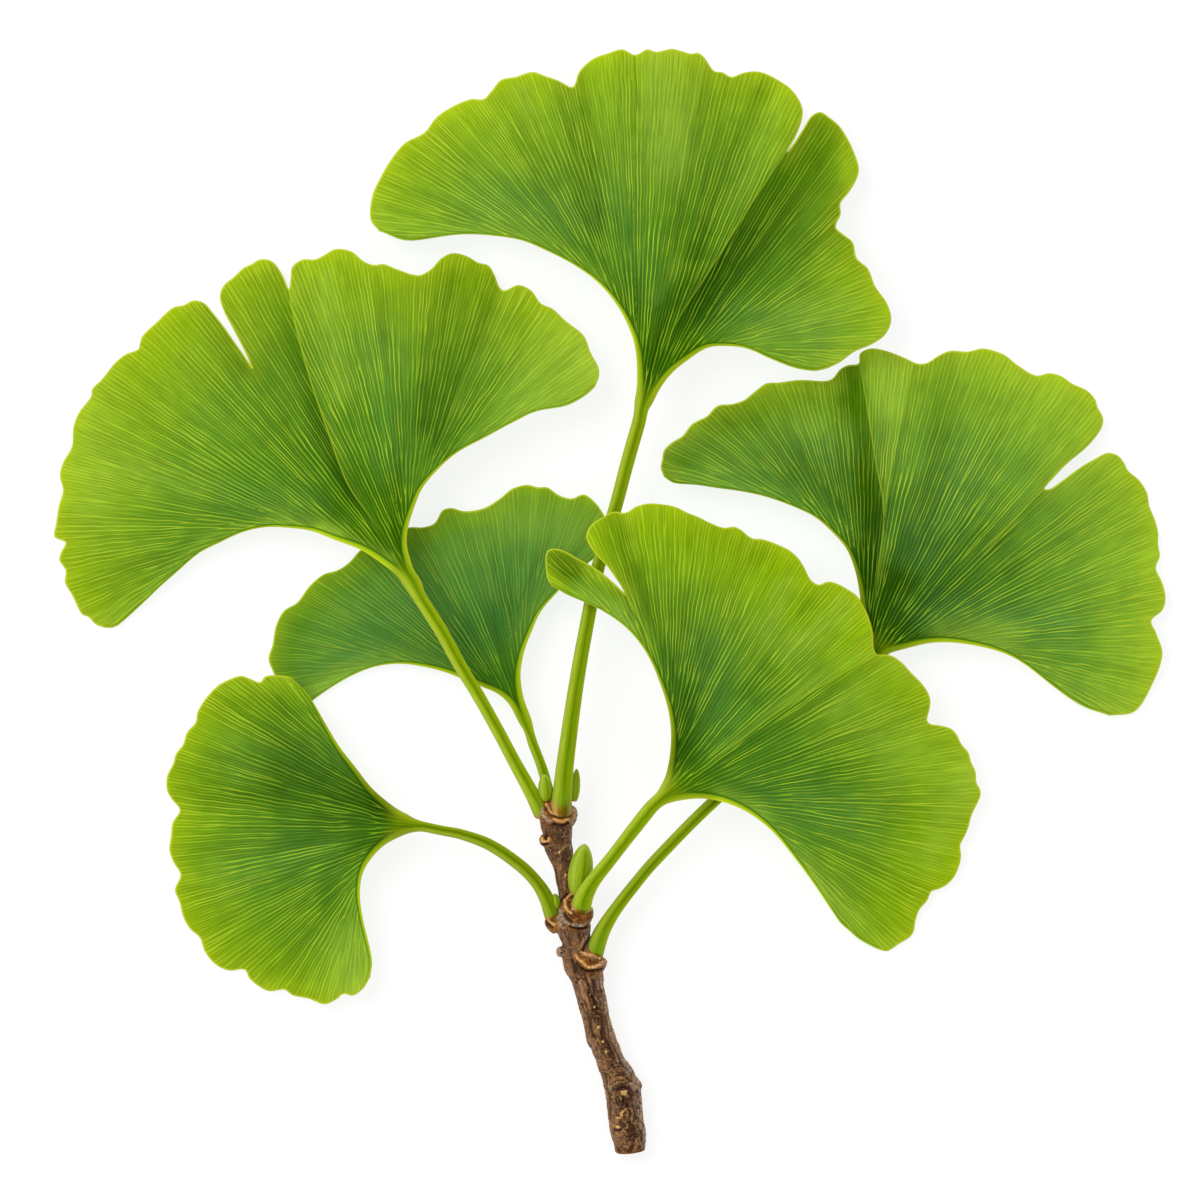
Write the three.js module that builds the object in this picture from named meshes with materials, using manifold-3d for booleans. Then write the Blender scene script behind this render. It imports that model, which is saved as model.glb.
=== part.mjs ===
// A cut ginkgo sprig that lies on a table: a woody twig, six fan leaves and four green buds.
// Units are millimetres, +Z is up and the table is z = 0. +Y runs from the cut end of the twig
// towards the leaf tips. Each leaf is one solid, because its blade and its stalk grow as one.

import * as THREE from 'three';
import Module from 'manifold-3d';

// ---- Driving dimensions ----

const BLADE_THICKNESS = 0.5; // the leaf blade, away from its base
const BASE_THICKNESS = 1.3; // the leaf blade where its ribs run into the stalk
const BASE_FADE = 5; // radius over which the thick base thins out
const FAN_START = 2.6; // radius from the apex at which the stalk has become the blade
const BLADE_ROWS = 7; // rows of facets from the foot of a blade to its margin
const ROW_CROWDING = 1.25; // above 1, the rows stand closer together near the foot
const RIBS_SKIPPED = [4, 4, 2]; // the first rows keep every fourth or every second rib
const TABLE_SOFTNESS = 0.5; // height over which a drooping blade flattens out on the table
const SEAT_GAP = 0.3; // clearance between a stalk or bud and the wood that holds it
const STALK_SIDES = 8;
const STALK_RINGS = 11;
const APEX_FLATTENING = 0.25; // how much lower than wide a stalk is where it meets its blade
const TWIG_SIDES = 12;
const BUD_SIDES = 8;
const RIB_STEP = 0.002; // least distance between two ribs, as a share of the fan

const LEAF_GREEN = 0x7db52c;
const LEAF_DARK = 0x4f8a35;
const BUD_GREEN = 0x93b84a;
const BARK_BROWN = 0x6f5242;

// ---- The leaves ----
// apex: where the ribs of the fan meet, with the height of the blade there.
// sideA, sideB: the two basal edges, from the apex outwards. Seen from above, sideA is the
//   anticlockwise one. Each ends where the wavy margin starts, or goes on as a guide line.
// margin: the wavy outer edge from sideA to sideB, one point to a lobe crest, notch or cleft.
// reach: the usual length of a rib.
// rim: heights of the margin, and arch: how far a rib bulges up halfway, both as [share, mm]
//   pairs, where share runs from 0 at sideA to 1 at sideB.
// folds: [x, y, kind, mm, width, start]: a radial fold through the point x, y, whose height or
//   jump is in mm, with its width and its start as shares of the fan and of the reach.
// stalk: [x, y, z, radius] from the twig to the apex.

const LEAVES = {
  leaf_top: {
    apex: [3.9, 22, 7.6],
    reach: 46,
    sideA: [
      [3.1, 24.5], [3.6, 29.2], [3.2, 31.9], [2.3, 34.7], [0.8, 37.2], [-1.3, 39.7], [-4.2, 41.9],
      [-7.6, 43.7], [-10.9, 45.1], [-14.3, 45.7], [-18.1, 45.9], [-24.8, 45.1], [-28.8, 46.3],
    ],
    sideB: [
      [5.2, 24.4], [6.2, 26.3], [7.6, 28.3], [9.8, 30.3], [12.3, 31.7], [14.6, 31.9], [17.1, 31.6],
      [19.9, 30.4], [22.7, 29.3], [25.4, 28.8], [27.2, 29.1],
    ],
    margin: [
      [-28.8, 46.3], [-29.9, 48.2], [-28.8, 52.8], [-25.6, 57.4], [-21.7, 60.6], [-17.4, 62.9],
      [-13.6, 65.3], [-9.7, 66.3], [-6.4, 65.2], [-4.6, 64.4], [-3.2, 67.1], [-0.2, 68.6],
      [3.2, 68.4], [7.8, 69.2], [11.1, 68.7], [13.2, 66.4], [15.3, 65.7], [18.2, 66.4],
      [21.3, 65.2], [23.8, 62.7], [23.7, 59.7], [22.2, 56.2], [24.3, 59.1], [26.4, 61.3],
      [28.7, 59.6], [30.6, 56.2], [31.2, 54.1], [29.9, 51.1], [28.3, 46.8], [30.4, 44.9],
      [32.3, 41.6], [34.7, 37.2], [35.2, 35.1], [34.4, 33.3], [30.6, 31.2], [27.2, 29.1],
    ],
    rim: [[0, 2.8], [0.2, 0.4], [0.4, 2.6], [0.55, -0.6], [0.7, 1.8], [0.85, 4], [1, 5]],
    arch: [[0, 0.9], [0.5, 2.2], [1, 0.6]],
    folds: [
      [-2.6, 62.5, 'wave', -1.1, 0.035, 0.3],
      [14.6, 64, 'wave', -1.2, 0.035, 0.3],
      [22.2, 56.2, 'step', -1.3, 0.06, 0.15],
    ],
    stalk: [
      [-6.1, -26.2, 5.6, 1.4], [-5.9, -24, 5.9, 1.25], [-5.5, -20, 6.2, 1.1], [-4.1, -10, 6.6, 0.95],
      [-2.4, -0.6, 6.6, 0.88], [-1.3, 4.8, 6.6, 0.85], [0.8, 12, 6.8, 0.85], [2.5, 17.8, 7.2, 0.85],
    ],
    color: LEAF_GREEN,
  },

  leaf_left: {
    apex: [-23.5, 0.2, 8.6],
    reach: 43,
    sideA: [
      [-25.4, 1.5], [-26.3, 2.9], [-28.4, 4.7], [-30.8, 6.3], [-34.1, 7.6], [-37.2, 8.8], [-40.1, 9.2],
      [-42.9, 9.3], [-45.8, 8.7], [-48.7, 7.4], [-51.3, 6.1], [-53.9, 3.9], [-56.3, 1.8],
      [-58.6, -0.4], [-61.7, -3.1], [-63.1, -3.3],
    ],
    sideB: [
      [-23.4, 2.2], [-24.3, 3.8], [-25.1, 6.1], [-25.3, 7.9], [-24.4, 11.7], [-23.4, 14.1], [-21.8, 16.1],
      [-19.3, 18.4], [-15.7, 20.4], [-12.2, 22.3], [-9.3, 23.7], [-5.6, 24.4], [-3.2, 25.6],
      [-1.8, 26.8],
    ],
    margin: [
      [-63.1, -3.3], [-65.3, -1.9], [-67.3, 0.8], [-68.1, 3.9], [-68.9, 5.4], [-69.5, 8.4],
      [-68.9, 12.1], [-68.8, 15.8], [-67.3, 19.4], [-66.4, 23.7], [-64.8, 26.6], [-60.7, 30.9],
      [-58.6, 33.1], [-56.8, 34.9], [-54.7, 36.8], [-52.1, 37.7], [-50.8, 37.4], [-48.4, 34.3],
      [-44.7, 29.2], [-47.1, 34.1], [-48.8, 38.2], [-47.1, 40.6], [-43.9, 42.8], [-41.8, 42.2],
      [-40.1, 39.1], [-39.7, 41.9], [-36.9, 42.8], [-33.8, 44.1], [-30.2, 42.2], [-26.7, 41.6],
      [-23.9, 40.8], [-21.1, 42.9], [-18.7, 43.5], [-15.2, 42.1], [-13.5, 39], [-11.4, 39.6],
      [-8.6, 37.3], [-5.6, 35.2], [-3.2, 33.2], [-1.4, 29.3], [-1.8, 26.8],
    ],
    rim: [[0, -0.7], [0.2, 2.6], [0.4, 0.8], [0.5, 1.8], [0.65, 3.8], [0.8, 2.4], [1, 5]],
    arch: [[0, 0.3], [0.5, 2], [1, 0.9]],
    folds: [
      [-44.7, 29.2, 'step', 0.7, 0.05, 0.3],
      [-39.9, 38.8, 'step', 1.3, 0.06, 0.15],
      [-14.4, 37.6, 'wave', -1.3, 0.045, 0.3],
      [-62.6, 27.2, 'wave', -0.8, 0.03, 0.5],
    ],
    stalk: [
      [-8.5, -26.4, 4.4, 1], [-9.7, -24, 5.2, 0.9], [-11.9, -20, 6, 0.82], [-13.8, -16.4, 6.7, 0.8],
      [-16.3, -11.9, 7.4, 0.8], [-18.6, -8.1, 7.9, 0.82], [-20.9, -3.9, 8.3, 0.85],
    ],
    color: LEAF_GREEN,
  },

  leaf_right: {
    apex: [31.5, -9, 5.2],
    reach: 40,
    sideA: [
      [32, -6], [31.9, -4], [31.5, -1.5], [31.2, 1.4], [30.6, 4.2], [29.6, 6.6], [27.9, 8.6],
      [25.6, 10.6], [22.9, 11.9], [20.2, 12.9], [14.1, 14.1], [10.7, 14.6], [8.1, 14.8],
      [6.8, 15.6],
    ],
    sideB: [
      [35, -6.5], [37, -5.9], [40.1, -5.2], [45.1, -5.4], [50.1, -6.8], [55.1, -10.3],
      [58.8, -12.9], [62.6, -14.3],
    ],
    margin: [
      [6.8, 15.6], [6.4, 17.6], [7.8, 19.9], [11.2, 22.7], [13.8, 24.6], [16.8, 25.2],
      [19.6, 27.3], [23.4, 27.7], [27.9, 27.9], [29.6, 29.5], [31.2, 30], [32.9, 31.7],
      [36.3, 30.8], [38.6, 29.8], [42.7, 31.4], [46.7, 31.7], [51.1, 29.6], [53.4, 28.3],
      [56.6, 28.2], [60.8, 25.3], [61.8, 22.4], [59.7, 19.3], [54.4, 14.1], [58.9, 16.8],
      [62.3, 18.6], [64.9, 16.4], [67.6, 12.4], [68.7, 8.6], [68.9, 5.7], [68.4, 4.2],
      [69.6, 0.6], [69.2, -1.1], [67.8, -2.4], [68.6, -3.9], [69.2, -6.7], [67.6, -11.1],
      [65.7, -13.8], [62.6, -14.3],
    ],
    rim: [[0, 3.4], [0.2, 1.4], [0.4, 0.6], [0.6, 2.4], [0.75, 0.8], [0.9, 1.6], [1, -0.7]],
    arch: [[0, 0.6], [0.5, 2], [1, 0.6]],
    folds: [
      [31.2, 30, 'step', 1.3, 0.06, 0.12],
      [38.6, 29.8, 'wave', -0.7, 0.03, 0.4],
      [54.4, 14.1, 'step', -0.7, 0.05, 0.4],
    ],
    stalk: [
      [-2, -44, 3.8, 1.25], [-0.9, -41.2, 4, 1], [0.7, -38.6, 4.1, 0.82], [3.15, -35.4, 4.2, 0.76],
      [5.6, -32.5, 4.3, 0.75], [12.6, -25.4, 4.5, 0.76], [22, -17.2, 4.8, 0.8],
      [28.5, -11.5, 5.1, 0.86],
    ],
    color: LEAF_DARK,
  },

  leaf_front: {
    apex: [5, -25.9, 9.6],
    reach: 38,
    sideA: [
      [6, -23.7], [6.8, -22.2], [7.3, -20.5], [7.6, -18.5], [7.5, -14.5], [6.4, -10.5],
      [4.7, -6.6], [2.2, -3.4], [-1, -1.1], [-5, 0.7], [-7.3, 2], [-13, 4],
    ],
    sideB: [
      [8, -25], [11, -24.6], [14, -25], [17, -26.2], [20, -28.4], [23, -31.9], [26, -36],
      [28.7, -40], [30, -41.2], [32.3, -42.9],
    ],
    margin: [
      [-7.3, 2], [-8, 5.5], [-6.8, 6.6], [-4, 5.4], [-1.2, 3.8], [2, 0.8], [-1.5, 5.6],
      [-2.9, 7.9], [-1.9, 9.9], [0.8, 11.2], [2, 11.1], [5.2, 12.2], [8.5, 11.7], [11, 10.6],
      [14.4, 9.2], [16.5, 8.9], [18, 7.9], [20.3, 7.4], [22.5, 6.4], [24.2, 4.5], [26.2, 2.1],
      [28.5, 2.2], [31, 0.6], [32.5, -2.3], [33, -5.8], [33.6, -6.7], [35.3, -6.8],
      [37.7, -8.9], [40.1, -12.3], [39.8, -15], [42.7, -15.9], [45.2, -20], [45.9, -22.6],
      [46.4, -24], [44.9, -28.3], [43.9, -31.2], [42.3, -35.4], [40.1, -36.4], [38.3, -40],
      [37.5, -42.1], [34.8, -43.8], [32.3, -42.9],
    ],
    rim: [[0, 8.6], [0.2, 8.8], [0.4, 6.8], [0.55, 6.6], [0.7, 4.6], [0.85, 2], [1, -0.8]],
    arch: [[0, 0.5], [0.5, 1.9], [1, 1]],
    folds: [
      [33.4, -6.6, 'step', -0.6, 0.05, 0.3],
      [39.8, -15, 'wave', -0.6, 0.03, 0.5],
      [26.2, 2.1, 'wave', -0.5, 0.03, 0.5],
    ],
    stalk: [
      [-3.6, -38.1, 5.9, 1.3], [-2.95, -36.4, 6.8, 1.1], [-1.9, -34.7, 7.6, 0.92],
      [-0.2, -32.6, 8.3, 0.84], [1.8, -30, 8.9, 0.84], [3.5, -27.8, 9.3, 0.88],
    ],
    color: LEAF_GREEN,
  },

  leaf_small: {
    apex: [-22.9, -28.2, 6.2],
    reach: 31,
    sideA: [
      [-25.2, -29], [-26.2, -29.4], [-27.9, -30.3], [-29.6, -31.9], [-30.8, -33.9], [-31.2, -36.6],
      [-30.9, -39.2], [-30.2, -42.3], [-29.7, -44.9], [-29.9, -46.9],
    ],
    sideB: [
      [-25.2, -26.6], [-26.2, -26.1], [-27.9, -24.9], [-29.6, -23.4], [-31.6, -20.9], [-33.7, -18.2],
      [-35.7, -14.9], [-37.7, -11.6], [-39.9, -9.4],
    ],
    margin: [
      [-29.9, -46.9], [-30.8, -48.4], [-33.3, -49.2], [-35.7, -50.4],
      [-39.7, -49.3], [-42.6, -48.8], [-45.5, -46.6], [-47.7, -46.2], [-49.4, -45.4],
      [-50.9, -43.4], [-53.4, -39.4], [-54.4, -36.1], [-53.7, -34.2], [-55.1, -31.1],
      [-54.7, -27.7], [-53.8, -26.1], [-55.4, -23.7], [-55.4, -21.9], [-54.3, -19.1],
      [-52.9, -16.4], [-51.6, -13.9], [-49.1, -10.6], [-46.1, -9.3], [-43.7, -10],
      [-41.8, -9.2], [-39.9, -9.4],
    ],
    rim: [[0, 1.8], [0.2, -0.6], [0.45, 1.8], [0.7, 1], [1, 3.2]],
    arch: [[0, 0.5], [0.5, 1.8], [1, 0.5]],
    folds: [
      [-53.8, -26.1, 'wave', -0.7, 0.04, 0.4],
      [-50.9, -43.4, 'wave', -0.6, 0.04, 0.4],
    ],
    stalk: [
      [-7.1, -39.2, 3.8, 1], [-8.2, -37, 4.3, 0.9], [-9.6, -35, 4.7, 0.82], [-11.9, -32.6, 5.2, 0.78],
      [-15, -30.4, 5.6, 0.72], [-18.5, -29.1, 6, 0.66], [-21, -28.6, 6.1, 0.62],
    ],
    color: LEAF_GREEN,
  },

  leaf_back: {
    apex: [-9.5, -18, 4.2],
    reach: 31,
    sideA: [
      [-11.2, -15.4], [-12.4, -13.1], [-13.9, -11.6], [-15.9, -10.7], [-18.6, -9.6], [-20.4, -8.9],
      [-23.1, -8.2], [-26.1, -7.8], [-29.1, -8.1], [-31.9, -9.1], [-34.9, -10.8], [-38.6, -13.6],
    ],
    sideB: [
      [-9.6, -15.4], [-10.5, -12.8], [-11.1, -9.8], [-10.8, -6.8], [-9.8, -3.9], [-8.6, -1.3],
      [-6.6, 1.1], [-2.8, 4.7], [-1.8, 5.5], [-0.4, 6.6], [0.2, 8.6],
    ],
    margin: [
      [-38.6, -13.6], [-41, -12], [-42.1, -8.9], [-42.7, -7.2], [-41.8, -3.1], [-39.1, -0.1],
      [-35.8, 3.4], [-32.6, 4.9], [-28.5, 8], [-24.9, 9.3], [-22.1, 9.8], [-19.8, 11.7],
      [-15.7, 11.7], [-12.2, 14.1], [-8.9, 14.4], [-6.5, 13.4], [-4.7, 12.9], [-3.3, 13.4],
      [-0.9, 11.2], [0.2, 8.6],
    ],
    rim: [[0, -0.2], [0.2, 0.3], [0.4, 1.6], [0.6, 2.6], [0.8, 2.2], [1, 3.4]],
    arch: [[0, 0.4], [0.5, 0.9], [1, 0.3]],
    folds: [
      [-22.1, 9.8, 'wave', -0.6, 0.04, 0.4],
      [-6, 13.2, 'wave', -0.5, 0.03, 0.4],
    ],
    stalk: [
      [-7.3, -25.2, 3.4, 0.7], [-8.05, -22.1, 3.7, 0.66], [-8.65, -20.2, 3.9, 0.62],
    ],
    color: LEAF_DARK,
  },
};

// ---- The twig ----
// Each row is a section across the twig: y, its left and right edge and the height of its middle.

const TWIG_SECTIONS = [
  [-69.2, 1.2, 4.1, 2.1], [-68.6, 0.6, 4.4, 2.1], [-67.4, 0.4, 4.6, 2.1], [-66, 0, 4.5, 2.3],
  [-64, -0.2, 4.2, 2.3], [-62, -0.4, 4.1, 2.4], [-60.8, -0.6, 3.9, 2.4], [-59.5, -1, 3.1, 2.5],
  [-58, -1.5, 2.2, 2.6], [-56, -2.3, 1.4, 2.8], [-54.2, -3.1, 0.7, 2.9], [-52.5, -3.3, 0.3, 3],
  [-50, -4, -0.3, 3.2], [-48, -4.6, -0.7, 3.3], [-46.6, -5.1, -0.7, 3.4], [-45, -5.9, -1.2, 3.5],
  [-43.7, -6.3, -2, 3.6], [-42.5, -6, -2.3, 3.7], [-41, -6.7, -2.3, 3.8], [-39.5, -6.7, -2.6, 3.9],
  [-38, -6.4, -3.4, 4], [-36.6, -6.4, -4.3, 4.1], [-35, -6.6, -4.4, 4.1], [-33, -7, -4.4, 4.2],
  [-31.5, -7.7, -4.4, 4.3], [-30.2, -8.5, -4.6, 4.3], [-29, -8.2, -4.6, 4.3],
  [-28, -8.4, -4.3, 4.4], [-27, -8.8, -4, 4.4], [-26, -8.7, -4, 4.4], [-25.2, -8.2, -4.5, 4.4],
  [-24.8, -7.4, -5.1, 4.4],
];

// Collars that hold the leaf stalks: leaf, foot and rim of the collar, and the radius of its rim.
const COLLARS = [
  { foot: [-5.2, -40.9, 3.9], rim: [-3.8, -38.4, 5.5], radius: 2.2 }, // leaf_front
  { foot: [-3.2, -46.8, 3.3], rim: [-2.1, -44.3, 3.7], radius: 2.15 }, // leaf_right
  { foot: [-6.1, -41.1, 3.5], rim: [-6.9, -39.3, 3.8], radius: 1.1 }, // leaf_small
];

// Green buds in the leaf axils: base, tip and greatest radius.
const BUDS = {
  bud_lower: { base: [-4.5, -36.4, 5.2], tip: [-3.1, -30.3, 6.6], radius: 1.5 },
  bud_upper_left: { base: [-7.9, -24.6, 5.5], tip: [-8.2, -21.5, 6], radius: 0.85 },
  bud_upper_right: { base: [-4.3, -24.4, 4.8], tip: [-4.1, -21, 4.7], radius: 0.55 },
  bud_side: { base: [-6.5, -37.9, 4.3], tip: [-7, -36.4, 4.2], radius: 0.4 },
};

// ---- Solids ----

const manifold = await Module();
manifold.setup();

// A closed solid through a stack of rings. A ring starts at its left side and runs over the top.
// Rings may differ in their number of points, which is even, and the first and last ring are
// closed by triangles from one half of the ring to the other.
function loft(rings) {
  const vertices = rings.flat();
  const triangles = [];
  let start = 0;
  for (let row = 0; row + 1 < rings.length; row++) {
    const near = rings[row].length;
    const far = rings[row + 1].length;
    const farStart = start + near;
    let i = 0;
    let j = 0;
    while (i < near || j < far) {
      const a = start + (i % near);
      const b = farStart + (j % far);
      if ((i + 1) / near <= (j + 1) / far) {
        triangles.push([a, start + ((i + 1) % near), b]);
        i++;
      } else {
        triangles.push([a, farStart + ((j + 1) % far), b]);
        j++;
      }
    }
    start = farStart;
  }
  triangles.push(...endCap(0, rings[0].length));
  triangles.push(...endCap(start, rings[rings.length - 1].length).map(([a, b, c]) => [a, c, b]));
  return toSolid(vertices, triangles);
}

function endCap(start, count) {
  const triangles = [];
  for (let i = 0; i + 1 < count / 2; i++) {
    const across = count - 1 - i;
    triangles.push([start + i, start + across, start + across - 1]);
    triangles.push([start + i, start + across - 1, start + i + 1]);
  }
  return triangles;
}

function signedVolume(vertices, triangles) {
  let volume = 0;
  for (const [a, b, c] of triangles) {
    const [p, q, r] = [vertices[a], vertices[b], vertices[c]];
    volume += p.dot(new THREE.Vector3().crossVectors(q, r)) / 6;
  }
  return volume;
}

function toSolid(vertices, triangles) {
  const turned = signedVolume(vertices, triangles) < 0;
  const outward = turned ? triangles.map(([a, b, c]) => [a, c, b]) : triangles;
  const mesh = new manifold.Mesh({
    numProp: 3,
    vertProperties: new Float32Array(vertices.flatMap((point) => point.toArray())),
    triVerts: new Uint32Array(outward.flat()),
  });
  return new manifold.Manifold(mesh);
}

function toGeometry(solid) {
  const mesh = solid.getMesh();
  const geometry = new THREE.BufferGeometry();
  geometry.setAttribute('position', new THREE.BufferAttribute(new Float32Array(mesh.vertProperties), 3));
  geometry.setIndex(new THREE.BufferAttribute(new Uint32Array(mesh.triVerts), 1));
  geometry.computeVertexNormals();
  return geometry;
}

// A smooth curve through [x, value] pairs, level beyond its ends.
function through(table, x) {
  const last = table.length - 1;
  if (x <= table[0][0]) {
    return table[0][1];
  }
  if (x >= table[last][0]) {
    return table[last][1];
  }
  const i = table.findIndex((pair) => pair[0] > x) - 1;
  const slope = (k) => {
    const a = table[Math.max(k - 1, 0)];
    const b = table[Math.min(k + 1, last)];
    return (b[1] - a[1]) / (b[0] - a[0]);
  };
  const span = table[i + 1][0] - table[i][0];
  const t = (x - table[i][0]) / span;
  const rise = table[i + 1][1] - table[i][1];
  const bendA = slope(i) * span - rise;
  const bendB = rise - slope(i + 1) * span;
  return table[i][1] + t * rise + t * (1 - t) * ((1 - t) * bendA + t * bendB);
}

function smoothStep(low, high, x) {
  const t = Math.min(Math.max((x - low) / (high - low), 0), 1);
  return t * t * (3 - 2 * t);
}

// ---- One leaf blade ----
// A point of the blade has two numbers: its share, from 0 at sideA to 1 at sideB, and its radius
// from the apex. Ribs of the same share run straight in the middle of the fan and follow the
// curved basal edges at the sides.

function makeFan(leaf) {
  const [apexX, apexY] = leaf.apex;
  const middle = leaf.margin[Math.floor(leaf.margin.length / 2)];
  const axis = Math.atan2(middle[1] - apexY, middle[0] - apexX);
  const polar = ([x, y]) => {
    const angle = Math.atan2(y - apexY, x - apexX) - axis;
    const turns = Math.round(angle / (2 * Math.PI));
    return [Math.hypot(x - apexX, y - apexY), angle - turns * 2 * Math.PI];
  };
  const sideA = leaf.sideA.map(polar);
  const sideB = leaf.sideB.map(polar);
  const farA = sideA[sideA.length - 1][1];
  const farB = sideB[sideB.length - 1][1];
  const angleAt = (share, radius) =>
    farA + (farB - farA) * share
    + (1 - share) ** 2 * (through(sideA, radius) - farA)
    + share ** 2 * (through(sideB, radius) - farB);
  const shareAt = (point) => {
    const [radius, angle] = polar(point);
    let low = 0;
    let high = 1;
    for (let step = 0; step < 30; step++) {
      const half = (low + high) / 2;
      if (angleAt(half, radius) > angle) {
        low = half;
      } else {
        high = half;
      }
    }
    return (low + high) / 2;
  };
  const folds = leaf.folds.map(([x, y, kind, height, width, start]) => (
    { centre: shareAt([x, y]), kind, height, width, start }
  ));
  const heightAt = (share, radius) => {
    const along = radius / leaf.reach;
    const level = leaf.apex[2] + (through(leaf.rim, share) - leaf.apex[2]) * along;
    const arch = 4 * through(leaf.arch, share) * along * (1 - along);
    const folded = folds.reduce((sum, fold) => sum + foldHeight(fold, share, along), 0);
    return restOnTable(level + arch + folded);
  };
  return { axis, polar, angleAt, shareAt, heightAt };
}

// A wave is a soft radial valley or ridge. A step is the closed slit between two lobes that
// overlap: its height jumps by that much across the slit and fades away on both sides.
function foldHeight(fold, share, along) {
  const off = (share - fold.centre) / fold.width;
  const grown = smoothStep(fold.start, 1, along);
  if (fold.kind === 'wave') {
    return fold.height * grown * Math.exp(-off * off);
  }
  return fold.height * 0.5 * grown * Math.sign(off) * Math.exp(-Math.abs(off));
}

// The middle of a blade never sinks below half its thickness.
function restOnTable(z) {
  const over = z - BLADE_THICKNESS / 2;
  return BLADE_THICKNESS / 2 + (over + Math.hypot(over, TABLE_SOFTNESS)) / 2;
}

// The ribs of a blade, one to each point of its margin, and none closer than a hair to the next.
function bladeRibs(leaf, fan) {
  const last = leaf.margin.length - 1;
  let previous = -RIB_STEP;
  return leaf.margin.map((point, i) => {
    const found = i === 0 ? 0 : fan.shareAt(point);
    const share = i === last ? 1 : Math.max(found, previous + RIB_STEP);
    previous = share;
    return { share, length: fan.polar(point)[0] };
  });
}

// Rings around the blade from its foot to its margin. The rows near the foot skip ribs.
function bladeRings(leaf, fan) {
  const [apexX, apexY] = leaf.apex;
  const ribs = bladeRibs(leaf, fan);
  const rings = [];
  for (let row = 0; row <= BLADE_ROWS; row++) {
    const skip = RIBS_SKIPPED[row] ?? 1;
    const kept = ribs.filter((rib, i) => i % skip === 0 || i === ribs.length - 1);
    const upper = [];
    const lower = [];
    for (const { share, length } of kept) {
      const radius = FAN_START + (length - FAN_START) * (row / BLADE_ROWS) ** ROW_CROWDING;
      const angle = fan.axis + fan.angleAt(share, radius);
      const swell = (BASE_THICKNESS - BLADE_THICKNESS) * Math.exp(-radius / BASE_FADE);
      const half = (BLADE_THICKNESS + swell) / 2;
      const x = apexX + radius * Math.cos(angle);
      const y = apexY + radius * Math.sin(angle);
      const z = fan.heightAt(share, radius);
      upper.push(new THREE.Vector3(x, y, z + half));
      lower.push(new THREE.Vector3(x, y, z - half));
    }
    rings.push([...upper, ...lower.reverse()]);
  }
  return rings;
}

// ---- Stalks, twig, collars and buds ----

// A ring of points around a centre, square to a direction, with half its width across and half
// its height up, measured to its flats. Seen along the direction it starts at the left and runs
// over the top.
function ringAround(centre, direction, halfWidth, halfHeight, sides) {
  const left = new THREE.Vector3(-direction.y, direction.x, 0).normalize();
  const up = new THREE.Vector3().crossVectors(direction, left).normalize();
  const corner = 1 / Math.cos(Math.PI / sides);
  left.multiplyScalar(corner);
  up.multiplyScalar(corner);
  const ring = [];
  for (let i = 0; i < sides; i++) {
    const turn = ((i + 0.5) / sides) * 2 * Math.PI;
    const point = centre.clone();
    point.addScaledVector(left, halfWidth * Math.cos(turn));
    point.addScaledVector(up, halfHeight * Math.sin(turn));
    ring.push(point);
  }
  return ring;
}

// Rings around a stalk from its seat in the twig to the apex of the fan. With extra, the stalk
// is that much fatter and starts that much earlier, to cut a clear seat for itself.
function stalkRings(leaf, extra) {
  const points = leaf.stalk.map(([x, y, z]) => new THREE.Vector3(x, y, z));
  const radii = leaf.stalk.map((row, i) => [i, row[3]]);
  const back = points[0].clone().sub(points[1]).setLength(extra);
  points[0].add(back);
  points.push(new THREE.Vector3(...leaf.apex));
  const end = points.length - 1;
  radii.push([end, radii[end - 1][1]]);
  const curve = new THREE.CatmullRomCurve3(points, false, 'centripetal');
  const rings = [];
  for (let step = 0; step <= STALK_RINGS; step++) {
    const t = step / STALK_RINGS;
    const radius = through(radii, t * end) + extra;
    const flat = 1 - APEX_FLATTENING * smoothStep(end - 2, end, t * end);
    rings.push(ringAround(curve.getPoint(t), curve.getTangent(t), radius, radius * flat, STALK_SIDES));
  }
  return rings;
}

function twigSolid() {
  const rings = TWIG_SECTIONS.map(([y, left, right, z]) => {
    const half = (right - left) / 2;
    const centre = new THREE.Vector3(left + half, y, z);
    return ringAround(centre, new THREE.Vector3(0, 1, 0), half, half, TWIG_SIDES);
  });
  return loft(rings);
}

function collarSolid({ foot, rim, radius }) {
  const from = new THREE.Vector3(...foot);
  const to = new THREE.Vector3(...rim);
  const direction = to.clone().sub(from).normalize();
  const profile = [[0, 0.6], [0.45, 0.8], [0.7, 1], [0.95, 0.97], [1, 0.85]];
  const rings = profile.map(([share, width]) => {
    const centre = from.clone().lerp(to, share);
    return ringAround(centre, direction, radius * width, radius * width, TWIG_SIDES);
  });
  return loft(rings);
}

function budSolid({ base, tip, radius }) {
  const from = new THREE.Vector3(...base);
  const to = new THREE.Vector3(...tip);
  const direction = to.clone().sub(from).normalize();
  const profile = [[0, 0.35], [0.15, 0.8], [0.4, 1], [0.65, 0.85], [0.88, 0.45], [1, 0.1]];
  const rings = profile.map(([share, width]) => {
    const centre = from.clone().lerp(to, share);
    return ringAround(centre, direction, radius * width, radius * width, BUD_SIDES);
  });
  return loft(rings);
}

// ---- The sprig ----

const sprig = new THREE.Group();

function addPiece(name, solid, color, roughness) {
  const material = new THREE.MeshStandardMaterial({ color, roughness, metalness: 0 });
  const piece = new THREE.Mesh(toGeometry(solid), material);
  piece.name = name;
  sprig.add(piece);
}

let wood = twigSolid();
for (const collar of COLLARS) {
  wood = wood.add(collarSolid(collar));
}

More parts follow.
